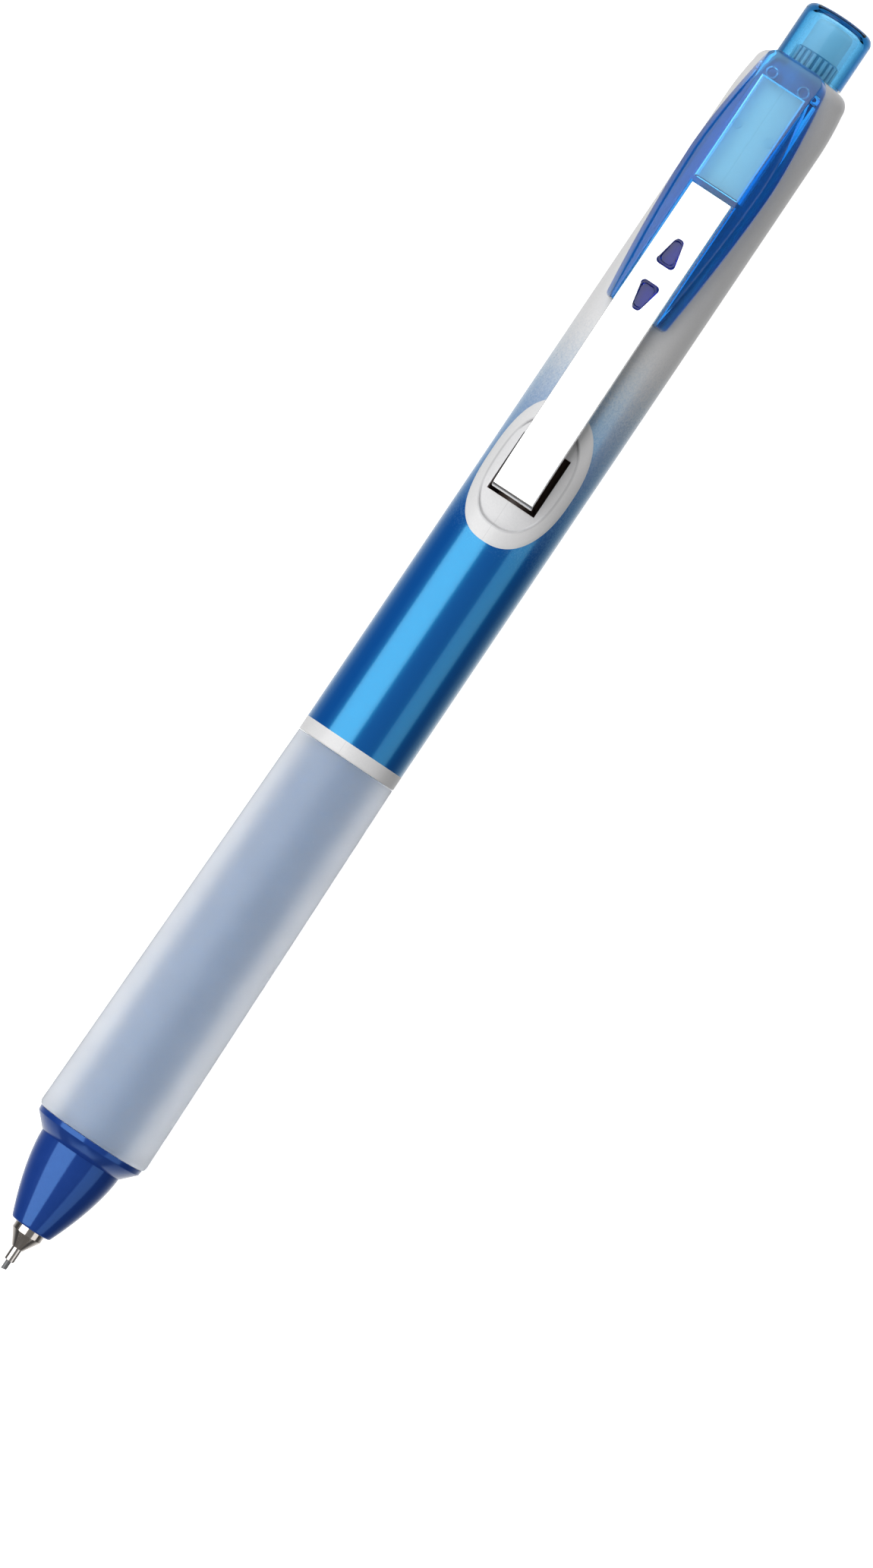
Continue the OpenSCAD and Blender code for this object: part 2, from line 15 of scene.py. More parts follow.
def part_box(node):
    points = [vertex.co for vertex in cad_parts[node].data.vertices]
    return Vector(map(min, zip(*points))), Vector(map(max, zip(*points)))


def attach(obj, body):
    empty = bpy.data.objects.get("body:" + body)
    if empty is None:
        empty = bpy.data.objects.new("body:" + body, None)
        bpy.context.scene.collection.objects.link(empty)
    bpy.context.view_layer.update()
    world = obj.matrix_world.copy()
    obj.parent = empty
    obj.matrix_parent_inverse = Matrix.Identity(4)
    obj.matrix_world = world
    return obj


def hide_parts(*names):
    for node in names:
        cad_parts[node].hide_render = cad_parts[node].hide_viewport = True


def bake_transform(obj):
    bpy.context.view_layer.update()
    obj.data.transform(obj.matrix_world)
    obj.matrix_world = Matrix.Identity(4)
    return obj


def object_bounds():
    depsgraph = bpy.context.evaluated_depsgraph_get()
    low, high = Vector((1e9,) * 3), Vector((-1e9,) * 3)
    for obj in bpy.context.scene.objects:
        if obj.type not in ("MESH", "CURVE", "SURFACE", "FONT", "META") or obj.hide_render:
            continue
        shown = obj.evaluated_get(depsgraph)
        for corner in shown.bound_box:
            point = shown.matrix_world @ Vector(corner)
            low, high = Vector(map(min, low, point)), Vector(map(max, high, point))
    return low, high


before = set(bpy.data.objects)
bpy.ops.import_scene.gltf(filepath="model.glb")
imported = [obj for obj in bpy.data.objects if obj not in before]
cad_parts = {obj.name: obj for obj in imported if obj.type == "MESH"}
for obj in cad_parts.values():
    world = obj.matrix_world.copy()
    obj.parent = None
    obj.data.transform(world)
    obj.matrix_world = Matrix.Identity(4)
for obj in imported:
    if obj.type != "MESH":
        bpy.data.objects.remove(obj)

cad_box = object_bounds()

MM = 0.001
TIP_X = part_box("lead")[0].x
AXIS_Z = (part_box("rear_barrel")[0].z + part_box("rear_barrel")[1].z) / 2
FLOOR_Z = cad_box[0].z
ALONG = Vector((1.0, 0.0, 0.0))


# ---- places and sizes

def place(across, out, up):
    """A place on the pencil as a point of the frame."""
    return Vector((TIP_X + up * MM, -across * MM, AXIS_Z + out * MM))


def span(node):
    """The lowest and highest heights of a node, up from the tip."""
    low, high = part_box(node)
    return (low.x - TIP_X) / MM, (high.x - TIP_X) / MM


def reach(node):
    """The greatest radius of a round node."""
    low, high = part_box(node)
    return (high.y - low.y) / 2 / MM


def scaled(colour, by):
    """A colour made darker or lighter."""
    return tuple(c * by for c in colour)


def spread(low, high, steps):
    """Evenly spaced values after low, up to high."""
    return [low + (high - low) * i / steps for i in range(1, steps + 1)]


def smooth(t):
    """0 below 0, 1 above 1, and a smooth step between."""
    t = min(1.0, max(0.0, t))
    return t * t * (3 - 2 * t)


FIT = 0.03
SLIDE = 0.07
NOSE_LOW = span("nose_cone")[0]
GRIP_LOW, GRIP_HIGH = span("grip_sleeve")
BARREL_LOW, BARREL_HIGH = span("rear_barrel")
CAP_LOW, CAP_HIGH = span("push_cap")
HOLDER_LOW, HOLDER_HIGH = span("clip_holder")
CLIP_LOW = span("clip_arm")[0]
CLIP_HIGH = span("clip_base")[1]
CLIP_BEND = span("clip_arm")[1]
CLIP_WIDTH = 2 * reach("clip_base")
BARREL_R = reach("rear_barrel")
BARREL_WALL = 1.1
BORE_R = BARREL_R - BARREL_WALL
CORE_R = reach("front_barrel")
GRIP_R = reach("grip_sleeve")
CAP_R = reach("push_cap")
GUIDE_R = CAP_R + SLIDE
COLLAR_R = reach("eraser_holder")
CLIP_FACE = (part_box("clip_base")[1].z - AXIS_Z) / MM


# ---- finishes

def operator(operation):
    """A method of Field that adds a Math node, with the field as its first value."""
    def method(self, *others):
        return self.maths(operation, *others)
    return method


class Field:
    """A value that varies over a surface. Arithmetic on it adds Math nodes."""

    def __init__(self, nodes, socket):
        self.nodes = nodes
        self.socket = socket

    def maths(self, operation, *others):
        """Adds a Math node that takes this value and then the others."""
        values = dict(enumerate((self, *others)))
        return self.nodes.add("ShaderNodeMath", {"operation": operation}, values)

    def __rsub__(self, other):
        return self.nodes.add("ShaderNodeMath", {"operation": "SUBTRACT"}, {0: other, 1: self})

    __add__ = __radd__ = operator("ADD")
    __sub__ = operator("SUBTRACT")
    __mul__ = operator("MULTIPLY")
    __truediv__ = operator("DIVIDE")
    __pow__ = operator("POWER")
    __lt__ = operator("LESS_THAN")
    __gt__ = operator("GREATER_THAN")
    __abs__ = operator("ABSOLUTE")

    def clamped(self):
        """This value, kept between 0 and 1."""
        return self.ramp(0.0, 1.0, "LINEAR")

    def ramp(self, low, high, curve="SMOOTHSTEP"):
        """0 where this is at low, 1 where it is at high, and a curve between."""
        settings = {"interpolation_type": curve, "clamp": True}
        return self.nodes.add("ShaderNodeMapRange", settings, {0: self, 1: low, 2: high})


class Nodes:
    """A shader tree that is built from the output backwards."""

    def __init__(self, tree):
        self.tree = tree
        self.tree.nodes.clear()

    def add(self, kind, settings=None, inputs=None, output=0):
        """Adds any node: its settings are set first, then its sockets."""
        node = self.tree.nodes.new(kind)
        for name, value in (settings or {}).items():
            if name == "stops":
                ramp = node.color_ramp
                while len(ramp.elements) < len(value):
                    ramp.elements.new(0.5)
                for element, (position, colour) in zip(ramp.elements, value):
                    element.position = position
                    element.color = (*colour, 1.0)
            else:
                setattr(node, name, value)
        for key, value in (inputs or {}).items():
            if isinstance(value, Field):
                self.tree.links.new(value.socket, node.inputs[key])
            else:
                node.inputs[key].default_value = value
        return None if output is None else Field(self, node.outputs[output])

    def parts(self, vector):
        """The three numbers of a vector or a colour."""
        split = self.add("ShaderNodeSeparateXYZ", inputs={0: vector}).socket.node
        return [Field(self, output) for output in split.outputs]

    def mix(self, factor, first, second):
        """One colour turning into another as factor goes from 0 to 1."""
        colours = [c if isinstance(c, Field) else (*c, 1.0) for c in (first, second)]
        values = {0: factor, 6: colours[0], 7: colours[1]}
        return self.add("ShaderNodeMix", {"data_type": "RGBA"}, values, 2)


class Finish(Nodes):
    """A procedural material, made with Principled BSDF."""

    def __init__(self, name, **constants):
        self.material = bpy.data.materials.new(name)
        self.material.use_nodes = True
        super().__init__(self.material.node_tree)
        self.output = self.tree.nodes.new("ShaderNodeOutputMaterial")
        self.shader = self.tree.nodes.new("ShaderNodeBsdfPrincipled")
        self.tree.links.new(self.shader.outputs[0], self.output.inputs["Surface"])
        for socket, value in constants.items():
            self.set(socket.replace("_", " ").title().replace("Ior", "IOR"), value)

    def layer(self, share):
        """Adds a second shader that covers a share of the surface, too finely to be told apart."""
        second = self.tree.nodes.new("ShaderNodeBsdfPrincipled")
        mix = self.add("ShaderNodeMixShader", inputs={0: share}).socket.node
        self.tree.links.new(self.shader.outputs[0], mix.inputs[1])
        self.tree.links.new(second.outputs[0], mix.inputs[2])
        self.tree.links.new(mix.outputs[0], self.output.inputs["Surface"])
        return second

    def set(self, socket, value, shader=None):
        """Feeds one of a shader's sockets with a number, a colour or a field."""
        target = (shader or self.shader).inputs[socket]
        if isinstance(value, Field):
            self.tree.links.new(value.socket, target)
        else:
            target.default_value = tuple(value) + (1.0,) if isinstance(value, tuple) else value

    def where(self):
        """The surface's own place: across, out and up in millimetres."""
        x, y, z = self.parts(self.add("ShaderNodeTexCoord", output="Object"))
        return y / -MM, (z - AXIS_Z) / MM, (x - TIP_X) / MM

    def texture(self, kind, size, inputs=None, output=0, stretch=(1, 1, 1)):
        """A 3-D texture whose features are about size millimetres, stretched along X, Y and Z."""
        coordinates = self.add("ShaderNodeTexCoord", output="Object")
        scale = tuple(1 / (size * MM * s) for s in stretch)
        moved = self.add("ShaderNodeMapping", inputs={"Vector": coordinates, "Scale": scale})
        values = {"Vector": moved, "Scale": 1.0, **(inputs or {})}
        return self.add(kind, inputs=values, output=output)

    def noise(self, size, detail, stretch=(1, 1, 1)):
        """Cloudy noise that runs from about 0 to about 1."""
        return self.texture("ShaderNodeTexNoise", size, {"Detail": detail}, stretch=stretch)

    def cells(self, size):
        """A number from 0 to 1 that is constant in each grain and random between grains."""
        return self.parts(self.texture("ShaderNodeTexVoronoi", size, output="Color"))[0]

    def bump(self, height, depth, strength=1.0):
        """Raises the surface by height times depth millimetres."""
        values = {"Height": height, "Distance": depth * MM, "Strength": strength}
        self.set("Normal", self.add("ShaderNodeBump", inputs=values))

    def tint(self, colour, density):
        """Fills the piece with clear colour that deepens with thickness."""
        volume = self.tree.nodes.new("ShaderNodeVolumeAbsorption")
        volume.inputs["Color"].default_value = (*colour, 1.0)
        volume.inputs["Density"].default_value = density
        self.tree.links.new(volume.outputs[0], self.output.inputs["Volume"])


# ---- shapes

def arc(centre, radius, start, end, steps):
    """Points on an arc, with its angles in degrees."""
    angles = [math.radians(start + (end - start) * i / steps) for i in range(steps + 1)]
    return [(centre[0] + radius * math.cos(a), centre[1] + radius * math.sin(a)) for a in angles]


def rounded(corners, steps=6):
    """An outline whose corners are (x, y), or (x, y, radius) where they are round."""
    outline = []
    for i, corner in enumerate(corners):
        here = Vector(corner[:2])
        if len(corner) == 2:
            outline.append(tuple(here))
            continue
        before = Vector(corners[i - 1][:2]) - here
        after = Vector(corners[(i + 1) % len(corners)][:2]) - here
        half = before.angle(after) / 2
        back = min(corner[2] / math.tan(half), before.length * 0.49, after.length * 0.49)
        start = here + before.normalized() * back
        end = here + after.normalized() * back
        for step in range(steps + 1):
            t = step / steps
            weight = 2 * t * (1 - t) * math.sin(half)
            total = (1 - t) ** 2 + weight + t ** 2
            outline.append(tuple(((1 - t) ** 2 * start + weight * here + t ** 2 * end) / total))
    return outline


def lathe(profile, segments=160):
    """Spins a closed outline of (radius, up) round the axis. It may start and end on the axis."""
    points, faces, rings = [], [], []
    for radius, up in profile:
        count = 1 if radius < 1e-6 else segments
        rings.append((len(points), count))
        for i in range(count):
            turn = 2 * math.pi * i / segments
            points.append((radius * math.sin(turn), radius * math.cos(turn), up))
    for (low, n), (high, m) in zip(rings, rings[1:] + rings[:1]):
        for i in range(segments):
            j = (i + 1) % segments
            quad = [low + i % n, low + j % n, high + j % m, high + i % m]
            face = list(dict.fromkeys(quad))
            if len(face) > 2:
                faces.append(face)
    return points, faces


def loft(sections):
    """A skin through sections of as many points each, capped at both ends."""
    count = len(sections[0])
    points = [point for section in sections for point in section]
    faces = []
    for k in range(len(sections) - 1):
        low, high = k * count, (k + 1) * count
        for i in range(count):
            j = (i + 1) % count
            faces.append([low + i, low + j, high + j, high + i])
    faces.append(list(range(count))[::-1])
    faces.append([len(points) - count + i for i in range(count)])
    return points, faces


def new_object(name, data):
    """An object at the origin that shows this mesh, light or camera."""
    thing = bpy.data.objects.new(name, data)
    bpy.context.collection.objects.link(thing)
    return thing


def new_piece(name, shape):
    """An object with a closed mesh from points on the pencil, with its faces outwards."""
    points, faces = shape
    mesh = bpy.data.meshes.new(name)
    mesh.from_pydata([place(*point) for point in points], [], faces)
    work = bmesh.new()
    work.from_mesh(mesh)
    bmesh.ops.remove_doubles(work, verts=work.verts, dist=1e-7)
    bmesh.ops.recalc_face_normals(work, faces=work.faces)
    work.to_mesh(mesh)
    work.free()
    return new_object(name, mesh)


def plain_mesh(thing):
    """Turns an object's modifiers into its own mesh."""
    bpy.context.view_layer.update()
    evaluated = thing.evaluated_get(bpy.context.evaluated_depsgraph_get())
    mesh = bpy.data.meshes.new_from_object(evaluated)
    thing.modifiers.clear()
    thing.data = mesh


def carve(thing, shape, operation="DIFFERENCE"):
    """Cuts a closed shape out of an object, or joins it to the object."""
    tool = new_piece("tool", shape)
    modifier = thing.modifiers.new("carve", "BOOLEAN")
    modifier.operation = operation
    modifier.solver = "EXACT"
    modifier.object = tool
    plain_mesh(thing)
    bpy.data.objects.remove(tool)


def finished(thing, finish, body, stands_for=(), sharp=32.0):
    """Gives a piece its finish, its smooth shading, its body and the nodes it stands for."""
    mesh = thing.data
    mesh.materials.clear()
    mesh.materials.append(finish.material)
    mesh.shade_smooth()
    mesh.set_sharp_from_angle(angle=math.radians(sharp))
    if isinstance(body, str):
        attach(thing, body)
    else:
        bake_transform(thing)
    if stands_for:
        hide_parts(*stands_for)


def turned(name, profile, finish, body, stands_for, segments=160):
    """A finished round piece, turned from its outline."""
    thing = new_piece(name, lathe(profile, segments))
    finished(thing, finish, body, stands_for)


# ---- the camera

def facing(right, up, back):
    """The rotation that turns the axes X, Y and Z into these."""
    return Matrix((right, up, back)).transposed().to_quaternion()


def make_camera():
    """Looks down on the clip's side, a little to its right, with the tip at the lower left."""
    distance = 0.850
    frame_height = 0.1508
    turn = math.radians(8.0)
    lean = math.radians(33.93)
    aim_up = 62.0
    aim_across = 8.55
    towards = Vector((0.0, -math.sin(turn), math.cos(turn)))
    across = Vector((0.0, -math.cos(turn), -math.sin(turn)))
    image_up = ALONG * math.cos(lean) - across * math.sin(lean)
    image_right = ALONG * math.sin(lean) + across * math.cos(lean)
    aim = place(0, 0, aim_up) + across * aim_across * MM
    camera = new_object("camera", bpy.data.cameras.new("camera"))
    camera.data.sensor_width = 36.0
    camera.data.lens = camera.data.sensor_width * distance / frame_height
    camera.data.clip_start = 0.01
    camera.data.clip_end = 20.0
    camera.location = aim + towards * distance
    camera.rotation_mode = "QUATERNION"
    camera.rotation_quaternion = facing(image_right, image_up, towards)
    bpy.context.scene.camera = camera
    return towards, across


VIEW_TOWARDS, VIEW_ACROSS = make_camera()


# ---- the studio

def softbox(name, angle, half_angle, distance, radiance, length):
    """A long soft light beside the pencil, at an angle round its axis from the camera's side."""
    turn = math.radians(angle)
    direction = VIEW_TOWARDS * math.cos(turn) + VIEW_ACROSS * math.sin(turn)
    light = bpy.data.lights.new(name, "AREA")
    light.shape = "RECTANGLE"
    light.size = length
    light.size_y = 2 * distance * math.tan(math.radians(half_angle))
    light.energy = radiance * light.size * light.size_y * math.pi
    lamp = new_object(name, light)
    lamp.location = Vector((0, 0, AXIS_Z)) + direction * distance
    lamp.rotation_mode = "QUATERNION"
    lamp.rotation_quaternion = facing(ALONG, direction.cross(ALONG), direction)


def make_studio():
    """Two soft lights over a white table in a dim room."""
    softbox("key_softbox", -36.5, 28.5, 0.60, 2.35, 1.8)
    softbox("fill_softbox", 61.5, 18.5, 0.60, 0.75, 1.8)
    table_size = 3.0
    corners = [(-1, -1), (1, -1), (1, 1), (-1, 1)]
    mesh = bpy.data.meshes.new("table")
    table_top = FLOOR_Z - 0.2 * MM
    points = [(x * table_size, y * table_size, table_top) for x, y in corners]
    mesh.from_pydata(points, [], [(0, 1, 2, 3)])
    table = new_object("table", mesh)
    white = Finish("white_table", base_color=(0.9, 0.9, 0.9), roughness=0.6)
    white.set("Emission Color", (1.0, 1.0, 1.0))
    white.set("Emission Strength", 0.92)
    mesh.materials.append(white.material)
    table.visible_glossy = False
    table.visible_diffuse = False
    make_room()


def make_room():
    """A room that is dim above the table, dark low down and white where the table is."""
    world = bpy.data.worlds.new("room")
    bpy.context.scene.world = world
    world.use_nodes = True
    room = Nodes(world.node_tree)
    direction = room.add("ShaderNodeTexCoord", output="Generated")
    dot = {"operation": "DOT_PRODUCT"}
    height = room.add("ShaderNodeVectorMath", dot, {0: direction, 1: VIEW_TOWARDS}, "Value")
    side = room.add("ShaderNodeVectorMath", dot, {0: direction, 1: VIEW_ACROSS}, "Value")
    turn = abs(side.maths("ARCTAN2", height)) / math.pi
    levels = [(0.0, 0.17), (0.43, 0.14), (0.47, 0.04), (0.60, 0.08), (0.72, 0.40), (0.86, 0.9),
              (1.0, 1.0)]
    stops = [(position, (level, level, level)) for position, level in levels]
    glow = room.add("ShaderNodeValToRGB", {"stops": stops}, {0: turn})
    along = room.parts(direction)[0]
    dark_band = along.ramp(-0.80, -0.85) * along.ramp(-0.96, -0.91)
    dark_end = room.mix(dark_band, glow, (0.12, 0.115, 0.11))
    lit = room.mix(along.ramp(0.75, 0.95), dark_end, (0.6, 0.6, 0.6))
    path = room.add("ShaderNodeLightPath").socket.node
    seen = Field(room, path.outputs["Is Camera Ray"])
    seen += Field(room, path.outputs["Is Transmission Ray"])
    colour = room.mix(seen.clamped(), lit, (1.0, 1.0, 1.0))
    background = room.add("ShaderNodeBackground", inputs={"Color": colour})
    room.add("ShaderNodeOutputWorld", inputs={"Surface": background}, output=None)
    bpy.context.scene.view_settings.view_transform = "Standard"


make_studio()


# ---- the finishes of this pencil

PAD_UP = CLIP_LOW + 2.85
PAD_HALF_LENGTH = 7.75
PAD_HALF_WIDTH = 4.62
DISH_HALF_LENGTH = 5.95
DISH_HALF_WIDTH = 3.7
OVAL_POWER = 2.45
RING_HIGH = BARREL_LOW + 1.5
FADE_LOW = 84.0
FADE_HIGH = 108.0

FLAKE = 0.09
MOTTLE = 0.12

PEARL = (0.68, 0.68, 0.685)


def add_flakes(paint, colour, share, roughness):
    """Adds fine metal flakes that cover a share of the surface, and gives their shader."""
    shine = paint.layer(share)
    shade = paint.cells(FLAKE)
    dull, bright = scaled(colour, 0.9), scaled(colour, 1.1)
    paint.set("Base Color", paint.mix(shade, dull, bright), shine)
    paint.set("Metallic", 1.0, shine)
    paint.set("Roughness", roughness, shine)
    return shine


def barrel_paint():
    """Metallic blue that fades into pearl, with a bare pearl ring and a bare oval pad, and painted
    shade on the dish's rim, in its floor and inside the bore.
    """
    paint = Finish("fading_barrel_paint", ior=1.5, coat_roughness=0.07, coat_ior=1.5)
    across, out, up = paint.where()
    mottle = paint.cells(MOTTLE)
    painted = (up + mottle * 3.0).ramp(FADE_HIGH + 1.5, FADE_LOW + 1.5, "LINEAR")
    oval, dish = (
        (abs(across) / width) ** OVAL_POWER + (abs(up - PAD_UP) / length) ** OVAL_POWER
        for width, length in (
            (PAD_HALF_WIDTH, PAD_HALF_LENGTH), (DISH_HALF_WIDTH, DISH_HALF_LENGTH)))
    pad = (oval < 1.0) * (out > 0.0)
    ring = up < RING_HIGH
    radius = (across ** 2 + out ** 2) ** 0.5
    inside = (radius < BORE_R + 0.5) * (up < BARREL_HIGH - 2.0)
    covered = painted * (1.0 - (pad + ring + inside).clamped())
    cloud = paint.noise(1.2, 5.0)
    grain = paint.mix(mottle * 0.5 + cloud * 0.5, scaled(PEARL, 0.93), PEARL)
    seam = (abs(across + 0.12) < 0.035) * (out > 0.0)
    seamed = paint.mix(seam * 0.3, grain, (0.4, 0.4, 0.4))
    # Painted shade: a dark line along the dish's step, and a darker dish floor that also carries
    # some grain.
    rim = abs(dish - 1.0).ramp(0.10, 0.03) * pad
    floor = (dish < 1.0) * pad * (mottle * 0.16 + 0.08)
    pearl = paint.mix(rim * 0.4 + floor, seamed, (0.35, 0.35, 0.37))
    stops = [(0.0, PEARL), (0.25, (0.49, 0.57, 0.67)), (0.5, (0.28, 0.41, 0.64)),
             (0.75, (0.11, 0.27, 0.60)), (1.0, (0.004, 0.11, 0.50))]
    fade = paint.add("ShaderNodeValToRGB", {"stops": stops}, {0: covered})
    outside = paint.mix(covered.ramp(0.0, 0.3, "LINEAR"), pearl, fade)
    # Painted shade: the bore and the inside of the slot are painted dark brown, over plastic that
    # is really pearl.
    paint.set("Base Color", paint.mix(inside, outside, (0.32, 0.23, 0.20)))
    paint.set("Roughness", 0.28 - covered * 0.1 + cloud * 0.05)
    paint.set("Coat Weight", covered * 0.4)
    shine = add_flakes(paint, (0.0, 0.27, 0.44), covered * 0.5, 0.21)
    paint.set("Coat Weight", 0.4, shine)
    paint.set("Coat Roughness", 0.07, shine)
    return paint


def frosted_silicone():
    """Milky clear rubber with a fine matte skin and a little lint."""
    rubber = Finish("frosted_silicone", ior=1.41, transmission_weight=0.84)
    mottle = rubber.noise(3.0, 4.0)
    skin = rubber.noise(0.12, 2.0)
    specks = rubber.texture("ShaderNodeTexVoronoi", 1.6).ramp(0.055, 0.03)
    milk = rubber.mix(mottle, (0.735, 0.755, 0.785), (0.795, 0.815, 0.845))
    rubber.set("Base Color", rubber.mix(specks * 0.5, milk, (0.97, 0.97, 0.97)))
    rubber.set("Roughness", 0.42 + mottle * 0.08)
    rubber.bump(skin, 0.006, 0.6)
    return rubber


def deep_gloss():
    """Glossy dark blue moulding with fine metal flakes in it."""
    gloss = Finish("deep_blue_gloss", ior=1.5)
    cloud = gloss.noise(0.9, 4.0)
    gloss.set("Base Color", gloss.mix(cloud, (0.018, 0.075, 0.42), (0.026, 0.09, 0.46)))
    gloss.set("Roughness", 0.10 + cloud * 0.05)
    add_flakes(gloss, (0.006, 0.065, 0.18), 0.5, 0.12)
    return gloss


def blue_core():
    """The plain blue tube that shows softly through the grip."""
    core = Finish("blue_core", ior=1.5)
    cloud = core.noise(2.0, 2.0)
    core.set("Base Color", core.mix(cloud, (0.02, 0.17, 0.40), (0.025, 0.20, 0.45)))
    core.set("Roughness", 0.35 + cloud * 0.1)
    return core


def clear_blue(name, density, ior=1.49, colour=(0.25, 0.745, 0.905)):
    """Clear blue plastic, pale where it is thin and deep where it is thick."""
    clear = Finish(name, ior=ior, transmission_weight=1.0)
    wave = clear.noise(4.0, 1.0)
    scuffs = clear.noise(0.5, 5.0)
    clear.set("Base Color", clear.mix(wave, (0.93, 0.97, 1.0), (0.96, 0.99, 1.0)))
    clear.set("Roughness", scuffs.ramp(0.55, 0.8) * 0.05 + 0.015)
    clear.bump(wave, 0.01, 0.3)
    clear.tint(colour, density)
    return clear


def chromed_strip():
    """Bright chromed steel strip with hair-fine polishing lines along it."""
    chrome = Finish("chromed_strip", metallic=1.0)
    lines = chrome.noise(0.05, 2.0, stretch=(60, 1, 1))
    haze = chrome.noise(1.2, 4.0)
    chrome.set("Base Color", chrome.mix(haze, (0.93, 0.935, 0.94), (0.97, 0.97, 0.97)))
    chrome.set("Roughness", 0.09 + lines * 0.05 + haze.ramp(0.5, 0.8) * 0.05)
    chrome.bump(lines, 0.0004, 0.5)
    return chrome


def turned_metal(name, colour, roughness):
    """Metal with fine rings from the lathe."""
    metal = Finish(name, metallic=1.0)
    rings = metal.noise(0.06, 1.0, stretch=(1, 90, 90))
    haze = metal.noise(0.7, 3.0)
    metal.set("Base Color", metal.mix(haze, scaled(colour, 0.92), colour))
    metal.set("Roughness", roughness + rings * 0.08)
    metal.bump(rings, 0.001, 0.6)
    return metal


def moulded(name, colour, roughness, grain=0.25):
    """Plain moulded plastic or rubber with a fine skin."""
    plastic = Finish(name, ior=1.48)
    skin = plastic.noise(grain, 3.0)
    cloud = plastic.noise(2.5, 2.0)
    plastic.set("Base Color", plastic.mix(cloud, scaled(colour, 0.93), colour))
    plastic.set("Roughness", roughness + skin * 0.1)
    plastic.bump(skin, 0.004, 0.4)
    return plastic


def graphite():
    """Hard pencil lead: dark grey, drawn along its length, a little shiny."""
    lead = Finish("graphite", ior=1.6)
    streaks = lead.noise(0.04, 2.0, stretch=(20, 1, 1))
    lead.set("Base Color", lead.mix(streaks, (0.12, 0.125, 0.13), (0.20, 0.205, 0.21)))
    lead.set("Metallic", 0.45)
    lead.set("Roughness", 0.32 + streaks * 0.2)
    lead.bump(streaks, 0.003, 0.5)
    return lead


def ribbed_clear():
    """Pale clear plastic of the eraser's collar, with painted shade in the valleys between its
    ribs.
    """
    pale = Finish("pale_clear_plastic", ior=1.5, transmission_weight=0.1)
    cloud = pale.noise(0.6, 2.0)
    across, out, _ = pale.where()
    radius = (across ** 2 + out ** 2) ** 0.5
    valley_shade = radius.ramp(COLLAR_R - 0.05, COLLAR_R - 0.19)
    crest = pale.mix(cloud, (0.82, 0.90, 0.95), (0.90, 0.95, 0.98))
    # Painted shade: the valleys between the ribs are coloured dark blue.
    pale.set("Base Color", pale.mix(valley_shade * 0.8, crest, (0.20, 0.36, 0.52)))
    pale.set("Roughness", 0.12 + cloud * 0.1)
    return pale


BARREL_PAINT = barrel_paint()
SILICONE = frosted_silicone()
DEEP_GLOSS = deep_gloss()
BLUE_CORE = blue_core()
CLEAR_BLUE = clear_blue("clear_blue_plastic", 1400.0)
CAP_BLUE = clear_blue("clear_cap_plastic", 1400.0, 1.28, (0.40, 0.695, 0.812))
# Painted shade: the holder's own plastic, tinted denser and darker for the tongue that lies in the
# clip's shadow.
SHADED_CLEAR_BLUE = clear_blue("shaded_clear_blue_plastic", 2600.0, 1.49, (0.06, 0.36, 0.86))
CHROME = chromed_strip()
NICKEL = turned_metal("bright_nickel", (0.88, 0.82, 0.77), 0.08)
STEEL = turned_metal("polished_steel_tube", (0.86, 0.81, 0.77), 0.13)
SATIN_STEEL = turned_metal("satin_steel", (0.60, 0.60, 0.61), 0.28)
BRASS = turned_metal("machined_brass", (0.80, 0.60, 0.27), 0.22)
WIRE = turned_metal("spring_wire", (0.66, 0.66, 0.67), 0.25)
GRAPHITE = graphite()
WHITE_PLASTIC = moulded("white_moulding", (0.84, 0.85, 0.86), 0.35)
ERASER = moulded("white_vinyl_eraser", (0.93, 0.93, 0.92), 0.6, 0.12)
BLACK_RUBBER = moulded("black_rubber", (0.03, 0.03, 0.03), 0.55)
SMOKE_PLASTIC = moulded("smoke_plastic", (0.20, 0.15, 0.13), 0.25)
RIBBED = ribbed_clear()


# ---- tip, nose and grip

NOSE_HEIGHT = 8.65
NOSE_END_R = 2.15
NOSE_R = 4.41
TIP_R = reach("tip_cone")
TIP_LOW = span("tip_cone")[0]
TIP_BAND = TIP_LOW + 1.6


def make_lead():
    """The writing lead, whose end is worn to a slant."""
    radius = reach("lead")
    high = span("lead")[1]
    wear = 0.12
    profile = [(0, 0), (radius * 0.93, 0), (radius, 0.04), (radius, high), (0, high)]
    points, faces = lathe(profile, 32)
    worn = [(a, o, u + wear * (0.5 + 0.5 * a / radius) if u < 1 else u) for a, o, u in points]
    thing = new_piece("writing_lead", (worn, faces))
    finished(thing, GRAPHITE, "lead", ("lead",))


def make_sleeve():
    """The thin steel tube round the lead, with its mouth rounded."""
    low, high = span("lead_sleeve")
    outer = 0.53
    bore = reach("lead") + 0.02
    collar = outer + 0.25
    profile = rounded([
        (bore, low, 0.05), (outer, low, 0.1), (outer, high - 0.4), (collar, high - 0.4),
        (collar, high), (bore, high)])
    turned("lead_guide_sleeve", profile, STEEL, "sleeve", ("lead_sleeve",),
           segments=64)


def make_tip():
    """The bright metal tip: a cone, then a plain band that enters the nose."""
    high = span("tip_cone")[1]
    bore = 0.55
    mouth = 0.62
    profile = rounded([
        (bore, TIP_LOW), (mouth, TIP_LOW, 0.04), (TIP_R, TIP_BAND, 0.12), (TIP_R, high),
        (bore, high)])
    turned("metal_tip", profile, NICKEL, "nose", ("tip_cone",))


def nose_radius(up):
    """The radius of the nose between its end and its flange."""
    t = (up - NOSE_LOW) / NOSE_HEIGHT
    return NOSE_END_R + (NOSE_R - NOSE_END_R) * (1 - max(0.0, 1 - t) ** 1.6)


